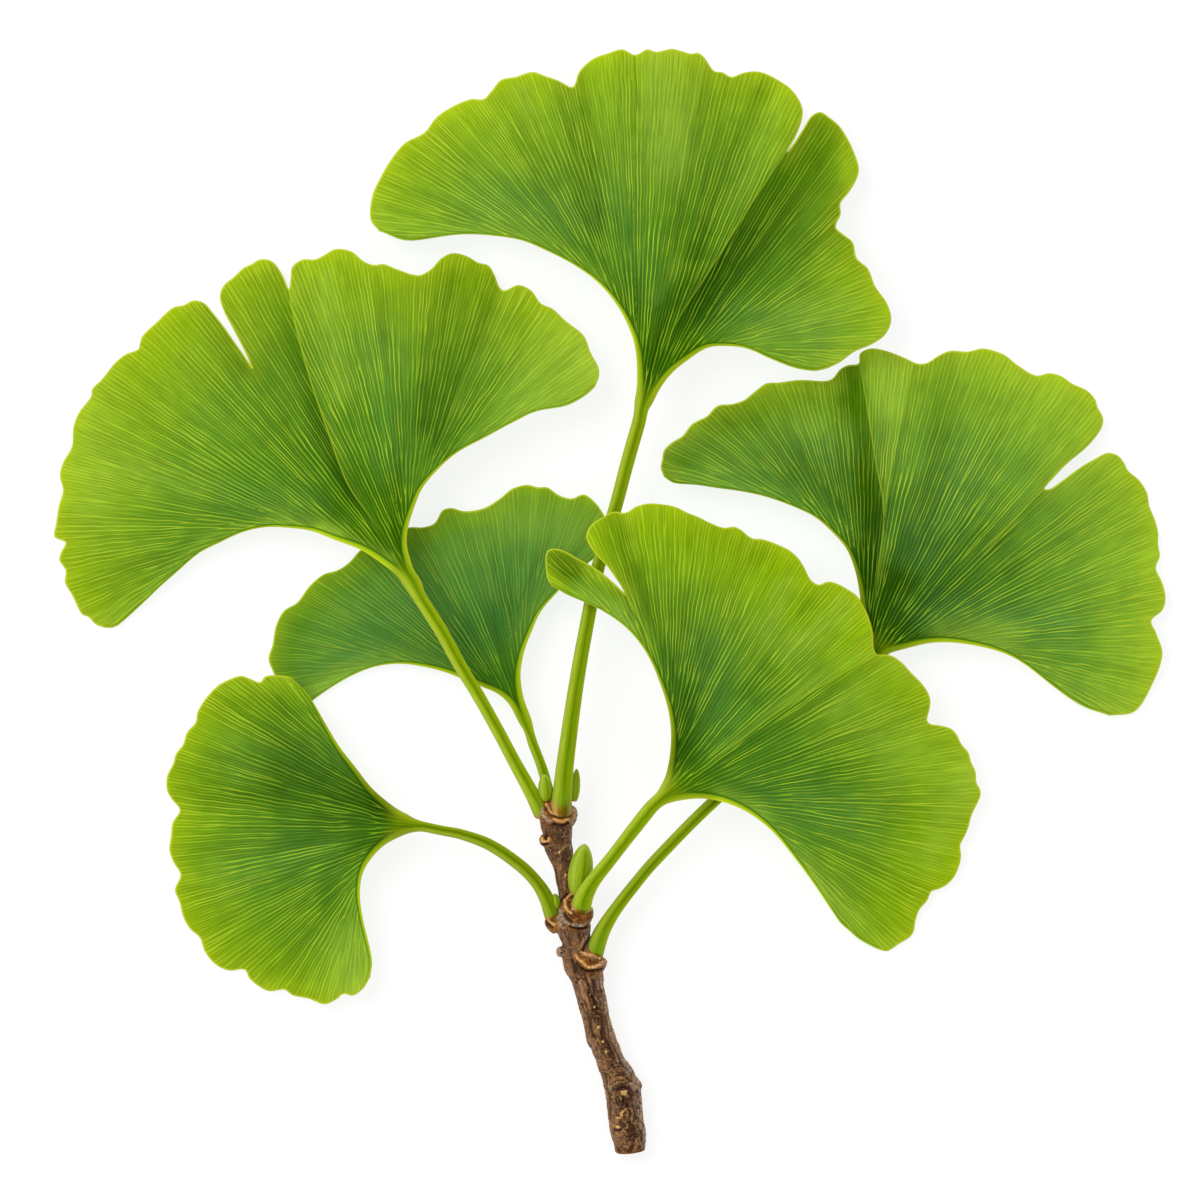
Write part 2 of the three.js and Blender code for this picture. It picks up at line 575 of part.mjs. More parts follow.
const clearances = [];
for (const [name, leaf] of Object.entries(LEAVES)) {
  const fan = makeFan(leaf);
  addPiece(name, loft([...stalkRings(leaf, 0), ...bladeRings(leaf, fan)]), leaf.color, 0.55);
  clearances.push(loft(stalkRings(leaf, SEAT_GAP)));
}

for (const clearance of clearances) {
  wood = wood.subtract(clearance);
}

for (const [name, bud] of Object.entries(BUDS)) {
  let green = budSolid(bud);
  for (const clearance of clearances) {
    green = green.subtract(clearance);
  }
  const room = budSolid({ ...bud, radius: bud.radius + SEAT_GAP });
  wood = wood.subtract(room);
  addPiece(name, green, BUD_GREEN, 0.5);
}

addPiece('twig', wood, BARK_BROWN, 0.85);

export default sprig;
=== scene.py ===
# %% [markdown]
# # A ginkgo sprig, laid on a white table
#
# The sprig is a short woody twig that carries six fan leaves on long stalks, with green buds in
# the corners between stalk and twig. It was cut off and lies flat, so the view is from above.
#
# Its solids come ready made, at their real size, and are loaded as a fixed frame. This scene
# gives every one of them its fine surface: thin blades with a wavy margin and forking veins,
# grooved stalks, cracked bark, leaf scars and bud scales. All lengths below are millimetres, and
# `MM` turns them into Blender's metres as the last step of making a mesh.

# %% Load the frame
import math

import bpy
import numpy as np
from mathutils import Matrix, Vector, kdtree, noise


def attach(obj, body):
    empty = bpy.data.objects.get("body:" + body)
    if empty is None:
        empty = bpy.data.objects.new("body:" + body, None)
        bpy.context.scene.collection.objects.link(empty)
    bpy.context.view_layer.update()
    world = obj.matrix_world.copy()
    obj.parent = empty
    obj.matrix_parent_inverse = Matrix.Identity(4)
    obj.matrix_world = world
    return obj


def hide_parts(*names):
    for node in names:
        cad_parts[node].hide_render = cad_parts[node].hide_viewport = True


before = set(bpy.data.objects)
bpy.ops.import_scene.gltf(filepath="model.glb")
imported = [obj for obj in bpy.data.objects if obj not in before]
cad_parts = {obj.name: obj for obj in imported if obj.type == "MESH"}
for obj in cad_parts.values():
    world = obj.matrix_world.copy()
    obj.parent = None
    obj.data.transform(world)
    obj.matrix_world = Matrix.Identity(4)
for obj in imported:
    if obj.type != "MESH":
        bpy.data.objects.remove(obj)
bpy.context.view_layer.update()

MM = 0.001
scene = bpy.context.scene
print("solids in the frame:", len(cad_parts))

# %% [markdown]
# ## Camera
#
# A sprig that lies flat is best seen from straight above. A wide lens close by would enlarge the
# high leaves and hide the undersides of the low ones. A very long lens far away keeps all heights
# at almost the same scale, like a drawing, and is still a perspective camera that can be moved
# round the sprig later.

# %% Camera
FRAME_WIDTH = 150.0  # how much of the table the picture spans
FRAME_CENTRE = (-1.19, 0.19)
LEAF_LEVEL = 5.0  # the height at which the picture's scale is exact
LENS = 600.0
SENSOR = 36.0

CLIP_START, CLIP_END = 0.1, 20.0  # metres


def add_object(name, data):
    """An object in the scene that shows a mesh, a lamp or a camera."""
    added = bpy.data.objects.new(name, data)
    scene.collection.objects.link(added)
    return added


camera_data = bpy.data.cameras.new("camera")
camera_data.lens = LENS
camera_data.sensor_width = SENSOR
camera_data.clip_start, camera_data.clip_end = CLIP_START, CLIP_END
camera = add_object("camera", camera_data)
scene.camera = camera
camera_height = FRAME_WIDTH * LENS / SENSOR + LEAF_LEVEL
camera.location = Vector((*FRAME_CENTRE, camera_height)) * MM
print("camera height above the table:", camera_height, "mm")

# %% [markdown]
# ## Table and light
#
# The table is a large white disc. Plain white under lamps would turn grey in the leaves' shade,
# so it also glows a little, as a light table does, which keeps the shadows soft and pale. One big
# soft lamp stands at the upper left, so that folds and veins get a light and a dark side, and the
# white world fills in from everywhere else.

# %% Table and light
TABLE_RADIUS = 3000.0
TABLE_GLOW = 0.8
TABLE_WHITE = 0.24
WORLD_LIGHT = 0.72
LAMP_POWER = 10.0
LAMP_PLACE = (-700.0, 550.0, 1300.0)
LAMP_SIZE = 900.0


def disc_mesh(name, radius, sides=96):
    turns = np.linspace(0, 2 * math.pi, sides, endpoint=False)
    rim = [(radius * MM * math.cos(t), radius * MM * math.sin(t), 0.0) for t in turns]
    mesh = bpy.data.meshes.new(name)
    mesh.from_pydata(rim, [], [tuple(range(sides))])
    return mesh


def new_material(name, roughness, shine):
    """A material, and the inputs of its shader."""
    material = bpy.data.materials.new(name)
    material.use_nodes = True
    inputs = material.node_tree.nodes["Principled BSDF"].inputs
    inputs["Roughness"].default_value = roughness
    inputs["Specular IOR Level"].default_value = shine
    return material, inputs


table = add_object("table", disc_mesh("table", TABLE_RADIUS))
table_paint, shader = new_material("white_table", roughness=0.9, shine=0.1)
shader["Base Color"].default_value = (TABLE_WHITE, TABLE_WHITE, TABLE_WHITE, 1)
shader["Emission Color"].default_value = (1, 1, 1, 1)
shader["Emission Strength"].default_value = TABLE_GLOW
table.data.materials.append(table_paint)

world = bpy.data.worlds.new("white_room")
scene.world = world
world.use_nodes = True
world_light = world.node_tree.nodes["Background"]
world_light.inputs["Color"].default_value = (1, 1, 1, 1)
world_light.inputs["Strength"].default_value = WORLD_LIGHT

lamp_data = bpy.data.lights.new("soft_lamp", "AREA")
lamp_data.size = LAMP_SIZE * MM
lamp_data.energy = LAMP_POWER
lamp = add_object("soft_lamp", lamp_data)
lamp.location = Vector(LAMP_PLACE) * MM
lamp.rotation_euler = (-lamp.location).to_track_quat("-Z", "Y").to_euler()
scene.view_settings.view_transform = "Standard"
print("lamp stands", round(lamp.location.length, 2), "m away")

# %% [markdown]
# ## Tools for smooth forms
#
# A leaf and a twig are described by a few measured points each. These helpers draw smooth curves
# through such points. `through` is a curve through pairs of numbers, level beyond its ends. A
# Hermite curve is used because it passes exactly through every given point and stays close to the
# straight line between them, where a B-spline would cut the corners.

# %% Smooth curves
def through(table, x):
    """A smooth curve through [x, value] pairs, level beyond its ends."""
    xs, ys = np.asarray(table, float).T[:2]
    slopes = np.empty_like(ys)
    slopes[1:-1] = (ys[2:] - ys[:-2]) / (xs[2:] - xs[:-2])
    slopes[0] = (ys[1] - ys[0]) / (xs[1] - xs[0])
    slopes[-1] = (ys[-1] - ys[-2]) / (xs[-1] - xs[-2])
    i = np.clip(np.searchsorted(xs, x, side="right") - 1, 0, len(xs) - 2)
    span = xs[i + 1] - xs[i]
    rise = ys[i + 1] - ys[i]
    t = np.clip((x - xs[i]) / span, 0, 1)
    bend_a = slopes[i] * span - rise
    bend_b = rise - slopes[i + 1] * span
    return ys[i] + t * rise + t * (1 - t) * ((1 - t) * bend_a + t * bend_b)


def smooth_step(low, high, x):
    t = np.clip((np.asarray(x, float) - low) / (high - low), 0, 1)
    return t * t * (3 - 2 * t)


def lengths_along(points):
    """How far along their line each of the points lies."""
    steps = np.linalg.norm(np.diff(points, axis=0), axis=1)
    return np.concatenate([[0], np.cumsum(steps)])


def line_through(points, reach, at):
    """The points at each distance of a smooth line that passes the given ones at reach."""
    columns = [through(np.stack([reach, column], axis=1), at) for column in points.T]
    return np.stack(columns, axis=1)


def smooth_line(points, step):
    """Points about a step apart on a smooth line through the given points."""
    points = np.asarray(points, float)
    reach = lengths_along(points)
    count = max(int(round(reach[-1] / step)), 2)
    return line_through(points, reach, np.linspace(0, reach[-1], count + 1))


def beside_line(points, path):
    """Distance of each point to a line of straight pieces, above zero to its left, and the
    share of the line's length that has been passed there."""
    path = np.asarray(path, float)
    best = np.full(len(points), np.inf)
    off, passed = np.zeros(len(points)), np.zeros(len(points))
    lengths = np.hypot(*np.diff(path, axis=0).T)
    before = np.concatenate([[0], np.cumsum(lengths)])
    for start, piece, length, done in zip(path, np.diff(path, axis=0), lengths, before):
        away = points - start
        step = np.clip(away @ piece / length ** 2, 0, 1)
        rest = away - np.outer(step, piece)
        distance = np.hypot(*rest.T)
        side = np.sign(piece[0] * away[:, 1] - piece[1] * away[:, 0])
        closer = distance < best
        best = np.where(closer, distance, best)
        off = np.where(closer, distance * side, off)
        passed = np.where(closer, (done + step * length) / before[-1], passed)
    return off, passed


print("halfway up a smooth step:", float(smooth_step(0, 1, 0.5)))

# %% [markdown]
# ## The leaves
#
# A ginkgo leaf is a fan. All its veins start where the stalk ends, at the apex, and its two
# basal edges sweep out from there. The wavy outer edge is the margin, often split by clefts.
# Tracing flat outlines and filling them would give paper cut-outs with triangles in all
# directions. Instead each blade is a grid in the leaf's own terms: one number says how far
# across the fan a point lies (its share, 0 at the left edge and 1 at the right one, looking
# outwards), and the other is its distance from the apex. Height, thickness, folds and colour
# are then all simple functions of these two, and the grid's lines run with the veins.

# %% The leaf at the top, in millimetres
# apex: x, y and height. reach: the usual distance from there to the margin.
# side_a, side_b: the basal edges, from the apex outwards. margin: the outer edge from a to b.
# rim: height of the margin, and arch: how far the blade bulges up halfway, against the share.
# folds: x, y, height, width in shares, start: soft valleys and ridges that run outwards.
# stalk: x, y, z, radius. blush: length of the tan foot of the stalk, mm.
# lines of painted light and shade: a line, the width to which it fades, and how much lighter it is
# painted, or darker below zero.
# cools: the same, for how much bluer it is.
# creases: points from the inner to the outer end, painted shade and its width on the left and on
# the right, looking outwards, brightness of the fine line itself, a painted highlight above zero
# and a painted shadow below, and how much higher its left is.
LEAVES = {}
LEAVES["leaf_top"] = dict(
    apex=(3.55, 22, 7.6), reach=46, blush=1.9,
    side_a=[
        (3.1, 24.6), (3.35, 26.4), (3.42, 29.2), (3.15, 31.9), (2.2, 34.7), (0.8, 37.2),
        (-1.3, 39.7), (-4.2, 41.9), (-7.6, 43.7), (-10.9, 45.1), (-14.3, 45.7), (-18.1, 45.9),
        (-24.8, 45.1), (-28.8, 46.3),
    ],
    side_b=[
        (5.3, 24.6), (6.1, 26.2), (7.5, 28.2), (9.7, 30.1), (12.3, 31.7), (14.6, 31.9),
        (17.1, 31.6), (19.9, 30.4), (22.7, 29.3), (25.4, 28.8), (27.2, 29.1),
    ],
    margin=[
        (-28.8, 46.3), (-29.9, 47.8), (-29.7, 50.7), (-28.8, 52.8), (-27.3, 55.4), (-25.6, 57.4),
        (-23.2, 58.7), (-21.7, 60.6), (-19.8, 61.9), (-17.4, 62.9), (-15.8, 62.9), (-14.8, 63.9),
        (-13.6, 65.3), (-11.7, 65.7), (-9.7, 66.3), (-8.1, 65.8), (-6.4, 65.2), (-4.6, 64.4),
        (-3.8, 66.3), (-2.1, 67.9), (-0.2, 68.6), (1.6, 69.1), (3.2, 68.4), (4.7, 69.1),
        (5.9, 68.8), (7.8, 69.2), (9.1, 68.9), (10.2, 68.6), (11.1, 68.7), (11.9, 68.1),
        (12.7, 66.9), (13.2, 66.4), (14.1, 66.3), (15.3, 65.7), (16.7, 66.2), (18.2, 66.4),
        (19.6, 66.1), (21.3, 65.2), (22.7, 64.2), (23.8, 62.7), (24.2, 61.3), (23.9, 59.7),
        (23.1, 57.8), (22.2, 56.2), (22.9, 57.1), (24.2, 59.1), (25.3, 60.8), (26.4, 61.3),
        (27.4, 60.7), (28.7, 59.6), (29.7, 58.1), (30.6, 56.2), (31.2, 54.1), (30.8, 52.6),
        (29.9, 51.1), (28.9, 49.8), (28.9, 48.4), (28.3, 46.8), (29.2, 45.9), (30.4, 44.9),
        (30.9, 42.9), (32.3, 41.6), (33.2, 39.4), (34.7, 37.2), (35.2, 35.1), (34.4, 33.3),
        (32.7, 32.1), (30.6, 31.2), (28.8, 29.9), (27.2, 29.1),
    ],
    rim=[(0, 2.8), (0.2, 0.4), (0.4, 2.6), (0.55, -0.6), (0.7, 1.8), (0.85, 4), (1, 5)],
    arch=[(0, 0.9), (0.5, 2.2), (1, 0.6)],
    folds=[(-2.6, 62.5, -0.7, 0.035, 0.3), (14.6, 64, -0.7, 0.035, 0.3)],
    stalk=[
        (-6.1, -26.2, 5.6, 1.4), (-5.9, -24, 5.9, 1.25), (-5.5, -20, 6.2, 1.1),
        (-4.1, -10, 6.6, 0.95), (-2.4, -0.6, 6.6, 0.88), (-1.3, 4.8, 6.6, 0.85),
        (0.8, 12, 6.8, 0.84), (2.4, 18, 7.2, 0.86),
    ],
    light_and_shade_lines=[
        ([(-5, 65), (-4, 59), (-3.3, 54), (-2, 47)], 1.9, -0.62),
        ([(-13.8, 64), (-11, 57)], 1.0, -0.15), ([(-11.5, 64), (-10.5, 61)], 1.5, 0.2),
        ([(-11, 58), (-8, 52)], 2, -0.2), ([(3.3, 68), (3, 59)], 0.6, -0.25),
        ([(6.5, 67), (7.5, 56)], 3.4, 0.42), ([(6.5, 38), (9, 42)], 1.6, 0.25),
        ([(14.5, 66), (12.5, 56), (10.5, 48)], 1.0, -0.15),
        ([(19.2, 65), (16.5, 59), (13, 50), (10.5, 43)], 1.0, -0.45),
        ([(21.5, 62), (18.5, 54), (14, 46)], 1.5, 0.2),
        ([(26.5, 59), (21.7, 50), (15.5, 42), (11, 37)], 3.6, -0.72),
        ([(29.5, 55), (29.5, 52)], 1.2, 0.2), ([(29, 47), (24, 44.5)], 3.2, -0.4),
        ([(28, 51), (31, 43)], 2.5, -0.35), ([(30, 37), (19, 34)], 3, 0.2),
        ([(7, 33), (9, 32)], 1.2, -0.3), ([(-2, 40), (2.5, 33)], 1.2, 0.3),
    ],
    cools=[
        ([(-16, 50), (-4, 48)], 4, 0.5), ([(1, 50), (5, 38)], 3, 0.3),
        ([(15, 36), (26, 34)], 3, 0.5),
    ],
    creases=[
        ([(6.3, 30.2), (7.6, 33.2), (9.5, 36.6), (12, 40.4), (15.4, 45.8), (18.8, 51.2),
         (22, 56)], 0.05, 3, -0.8, 8, 0.45, 0.6),
        ([(-1.1, 45), (-4.2, 64.7)], 0.1, 2.5, -0.25, 2, 0.15, 0),
        ([(7.8, 45), (12.2, 68.4)], 0.1, 2, -0.25, 3, -0.25, 0),
        ([(3.7, 60), (2.9, 68.6)], -0.1, 1, 0, 1, -0.4, 0),
        ([(11.2, 48), (15.9, 65.6)], -0.3, 2.4, -0.25, 2.4, 0, 0),
    ],
)
print("points on its margin:", len(LEAVES["leaf_top"]["margin"]))

# %% The leaf at the left
LEAVES["leaf_left"] = dict(
    apex=(-23.5, 0.2, 8.6), reach=43, blush=0.4,
    side_a=[
        (-25.4, 1.5), (-26.3, 2.9), (-28.4, 4.7), (-30.8, 6.3), (-34.1, 7.6), (-37.2, 8.8),
        (-40.1, 9.2), (-42.9, 9.3), (-45.8, 8.7), (-48.7, 7.4), (-51.3, 6.1), (-53.9, 3.9),
        (-56.3, 1.8), (-58.6, -0.4), (-61.7, -3.1), (-63.1, -3.3),
    ],
    side_b=[
        (-23.4, 2.2), (-24.3, 3.8), (-25.1, 6.1), (-25.3, 7.9), (-24.4, 11.7), (-23.4, 14.1),
        (-21.8, 16.1), (-19.3, 18.4), (-15.7, 20.4), (-12.2, 22.3), (-9.3, 23.7), (-5.6, 24.4),
        (-3.2, 25.6), (-1.8, 26.8),
    ],
    margin=[
        (-63.1, -3.3), (-64.3, -2.9), (-65.3, -1.9), (-66.1, -1.6), (-67.3, 0.8), (-68.2, 2.4),
        (-68.1, 3.9), (-68.9, 5.2), (-68.6, 6.3), (-68.1, 7.4), (-69.5, 8.1), (-69.3, 9.7),
        (-68.9, 12.1), (-68.4, 13.9), (-68.8, 15.8), (-68.4, 17.4), (-67.3, 19.4), (-67.1, 21.9),
        (-66.4, 23.7), (-64.9, 25.7), (-64.8, 26.6), (-63.6, 27.8), (-62.1, 29.7), (-60.7, 30.9),
        (-58.9, 31.7), (-58.6, 33.1), (-56.8, 34.9), (-54.7, 36.8), (-53.4, 37.1), (-52.1, 37.7),
        (-50.8, 37.4), (-49.7, 36.2), (-48.2, 34.3), (-46.8, 32.3), (-45.3, 30.2), (-44.7, 29.2),
        (-45.6, 31.2), (-47.1, 34.1), (-48.3, 36.4), (-48.8, 38.2), (-48.3, 39.6), (-47.1, 40.6),
        (-45.8, 41.8), (-44.9, 42.2), (-43.9, 42.8), (-42.7, 42.8), (-41.8, 42.2), (-40.8, 40.6),
        (-40.1, 39.1), (-39.9, 40.4), (-39.7, 41.9), (-38.4, 42.8), (-36.9, 42.8), (-35.8, 43.3),
        (-34.3, 44.1), (-32.3, 43.8), (-30.8, 42.6), (-29.6, 42.1), (-28.2, 42.2), (-26.7, 41.6),
        (-23.9, 40.8), (-22.3, 41.6), (-21.1, 42.9), (-19.6, 43.6), (-17.8, 43.2), (-16.4, 42.4),
        (-15.2, 42.1), (-14.4, 40.9), (-13.8, 39.4), (-13.2, 38.9), (-11.4, 39.6), (-9.8, 38.9),
        (-8.6, 37.3), (-7.1, 36.6), (-5.6, 35.2), (-3.2, 33.2), (-2.4, 31.2), (-1.4, 29.3),
        (-1.3, 28.2), (-1.8, 26.8),
    ],
    rim=[(0, -0.7), (0.2, 2.6), (0.4, 0.8), (0.5, 1.8), (0.65, 3.8), (0.8, 2.4), (1, 5)],
    arch=[(0, 0.3), (0.5, 2), (1, 0.9)],
    folds=[(-14.4, 37.6, -0.8, 0.045, 0.3), (-62.6, 27.2, -0.5, 0.03, 0.5)],
    stalk=[
        (-8.5, -26.4, 4.4, 1.05), (-9.7, -24, 5.2, 0.92), (-11.9, -20, 6, 0.82),
        (-13.8, -16.4, 6.7, 0.8), (-16.3, -11.9, 7.4, 0.8), (-18.6, -8.1, 7.9, 0.82),
        (-20.9, -3.9, 8.3, 0.85),
    ],
    light_and_shade_lines=[
        ([(-49.5, 36), (-46, 29.5)], 1.8, -0.6), ([(-43.5, 40), (-41, 30)], 2.2, -0.28),
        ([(-44, 29), (-38, 18)], 2.2, -0.2), ([(-38.6, 32), (-36, 21), (-32.4, 14)], 1.6, -0.45),
        ([(-35.6, 40), (-35.3, 34), (-33.4, 26)], 1.7, 0.3), ([(-28.5, 38), (-28, 33)], 1.3, -0.2),
        ([(-14.3, 40), (-15.5, 34), (-18, 26), (-21, 19)], 1.5, -0.45),
        ([(-19.6, 40), (-20.8, 33), (-23, 22)], 1.9, -0.45),
        ([(-17, 24.5), (-13.5, 29)], 1.4, -0.2), ([(-4, 30), (-10, 27)], 4.5, 0.35),
        ([(-3, 31), (-7, 34)], 2.5, 0.2), ([(-65, 26), (-65, 12)], 4, 0.28),
        ([(-60, 17), (-52, 14)], 2.2, 0.2), ([(-41, 10), (-34, 8.5)], 1.4, 0.3),
        ([(-63, 0), (-55, 5)], 2.6, -0.1), ([(-36, 8.6), (-28, 4.8)], 1.2, 0.6),
    ],
    cools=[([(-48, 13), (-38, 12)], 2.6, 0.45), ([(-29, 33), (-27, 18)], 3, 0.35)],
    creases=[
        ([(-27.2, 6.2), (-29.9, 10.4), (-32.8, 14.7), (-35.3, 21.3), (-37.5, 27.8), (-39.3, 34.3),
         (-40.3, 39.6)], -0.5, 4, 0.1, 4, 0.6, -0.5),
        ([(-37, 15), (-44.9, 29.4)], -0.1, 3, -0.1, 4, 0.1, 0),
        ([(-22.6, 17), (-13.7, 39.6)], -0.3, 6, 0.1, 5, 0.1, 0),
    ],
)
print("points on its margin:", len(LEAVES["leaf_left"]["margin"]))

# %% The leaf at the right
LEAVES["leaf_right"] = dict(
    apex=(31.5, -9, 5.2), reach=40, blush=0.4,
    side_a=[
        (32, -6), (31.9, -4), (31.5, -1.5), (31.2, 1.4), (30.6, 4.2), (29.6, 6.6), (27.9, 8.6),
        (25.6, 10.6), (22.9, 11.9), (20.2, 12.9), (14.1, 14.1), (10.7, 14.6), (8.1, 14.8),
        (6.8, 15.6),
    ],
    side_b=[
        (35, -6.5), (37, -5.9), (40.1, -5.2), (45.1, -5.4), (50.1, -6.8), (55.1, -10.3),
        (58.8, -12.9), (62.6, -14.3),
    ],
    margin=[
        (6.8, 15.6), (6.4, 16.7), (6.6, 17.9), (6.8, 18.9), (7.8, 19.9), (9.1, 20.7), (10.2, 22.1),
        (11.2, 22.7), (12.2, 23.2), (13.1, 24.2), (13.8, 24.6), (15.2, 24.7), (16.8, 25.2),
        (18.2, 26.3), (19.6, 27.3), (21.1, 27.4), (23.4, 27.7), (24.9, 27.7), (26.9, 27.6),
        (27.9, 27.9), (28.9, 29.1), (29.9, 29.6), (31.2, 29.8), (31.3, 30.9), (31.8, 31.4),
        (32.9, 31.7), (34.6, 31.4), (36.3, 30.8), (37.2, 30.4), (38.6, 29.8), (39.8, 29.9),
        (41.2, 30.8), (42.7, 31.4), (44.8, 31.3), (46.7, 31.7), (48.2, 31.4), (49.6, 30.8),
        (51.1, 29.6), (53.4, 28.3), (55.1, 28.6), (56.6, 28.2), (57.9, 27.3), (59.8, 26.4),
        (60.8, 25.3), (61.1, 24.3), (61.7, 23.2), (61.8, 22.4), (61.3, 21.2), (59.7, 19.3),
        (57.2, 17.2), (55.3, 15.2), (54.4, 14.1), (55.1, 14.1), (56.6, 15.1), (58.9, 16.8),
        (60.8, 17.9), (62.3, 18.6), (63.6, 18.3), (64.4, 17.4), (64.9, 16.4), (66.3, 15.2),
        (67.3, 13.6), (67.6, 11.9), (68.3, 10.2), (68.7, 8.6), (68.7, 7.1), (68.9, 5.7),
        (68.4, 4.2), (69.2, 2.3), (69.6, 0.4), (69.2, -1.1), (67.8, -2.4), (68.4, -3.9),
        (69.2, -6.7), (67.6, -11.1), (65.7, -13.8), (62.6, -14.3),
    ],
    rim=[(0, 3.4), (0.2, 1.4), (0.4, 0.6), (0.6, 2.4), (0.75, 0.8), (0.9, 1.6), (1, -0.7)],
    arch=[(0, 0.6), (0.5, 2), (1, 0.6)],
    folds=[(38.6, 29.8, -0.4, 0.03, 0.4)],
    stalk=[
        (-2, -44, 3.8, 1.25), (-0.9, -41.2, 4, 1), (0.7, -38.6, 4.1, 0.82),
        (3.15, -35.4, 4.2, 0.76), (5.6, -32.5, 4.3, 0.75), (12.6, -25.4, 4.5, 0.76),
        (22, -17.2, 4.8, 0.8), (28.5, -11.5, 5.1, 0.86),
    ],
    light_and_shade_lines=[
        ([(8, 17), (17, 20)], 6, -0.45), ([(6.8, 17), (9, 18)], 2.2, -0.4),
        ([(13, 23), (21, 25.5), (29, 26)], 2.8, -0.45), ([(24, 16), (30, 13)], 4.5, -0.55),
        ([(29, 24), (29.5, 17)], 2, -0.35),
        ([(30.6, 29), (32.2, 20), (32.7, 10), (32, 2)], 1.9, -0.75),
        ([(34.2, 30), (35.3, 24)], 1.8, 0.5), ([(41, 30), (41.5, 18), (38, 7)], 2.8, -0.45),
        ([(48, 30), (46, 24)], 2.2, -0.2), ([(47, 8), (42, 7)], 2.2, -0.25),
        ([(50, -4), (42, -4)], 2, 0.35), ([(36.5, 2), (30.5, 6)], 2.2, -0.4),
        ([(34, -6), (34.5, 2)], 2.5, -0.5), ([(37, 2), (39, 1)], 2, -0.4),
    ],
    cools=[
        ([(9, 18), (30, 18)], 5, 1.0), ([(38.5, 7), (43, 16)], 4.5, 0.75),
        ([(40, -1), (56, -3)], 3, 0.7),
    ],
    creases=[
        ([(32.6, -3), (33.5, 4.1), (34.2, 11.4), (33.2, 17.4), (32.2, 24), (31.2, 30)], -0.5, 4,
         0.15, 4, 0.4, -0.5),
        ([(34.5, 9), (34.9, 14.1), (38.2, 30.2)], 0.3, 2.8, -0.2, 2.5, 0.25, 0),
        ([(46, 5), (54.3, 14)], 0.1, 2, -0.25, 3, 0.35, 0.3),
    ],
)
print("points on its margin:", len(LEAVES["leaf_right"]["margin"]))

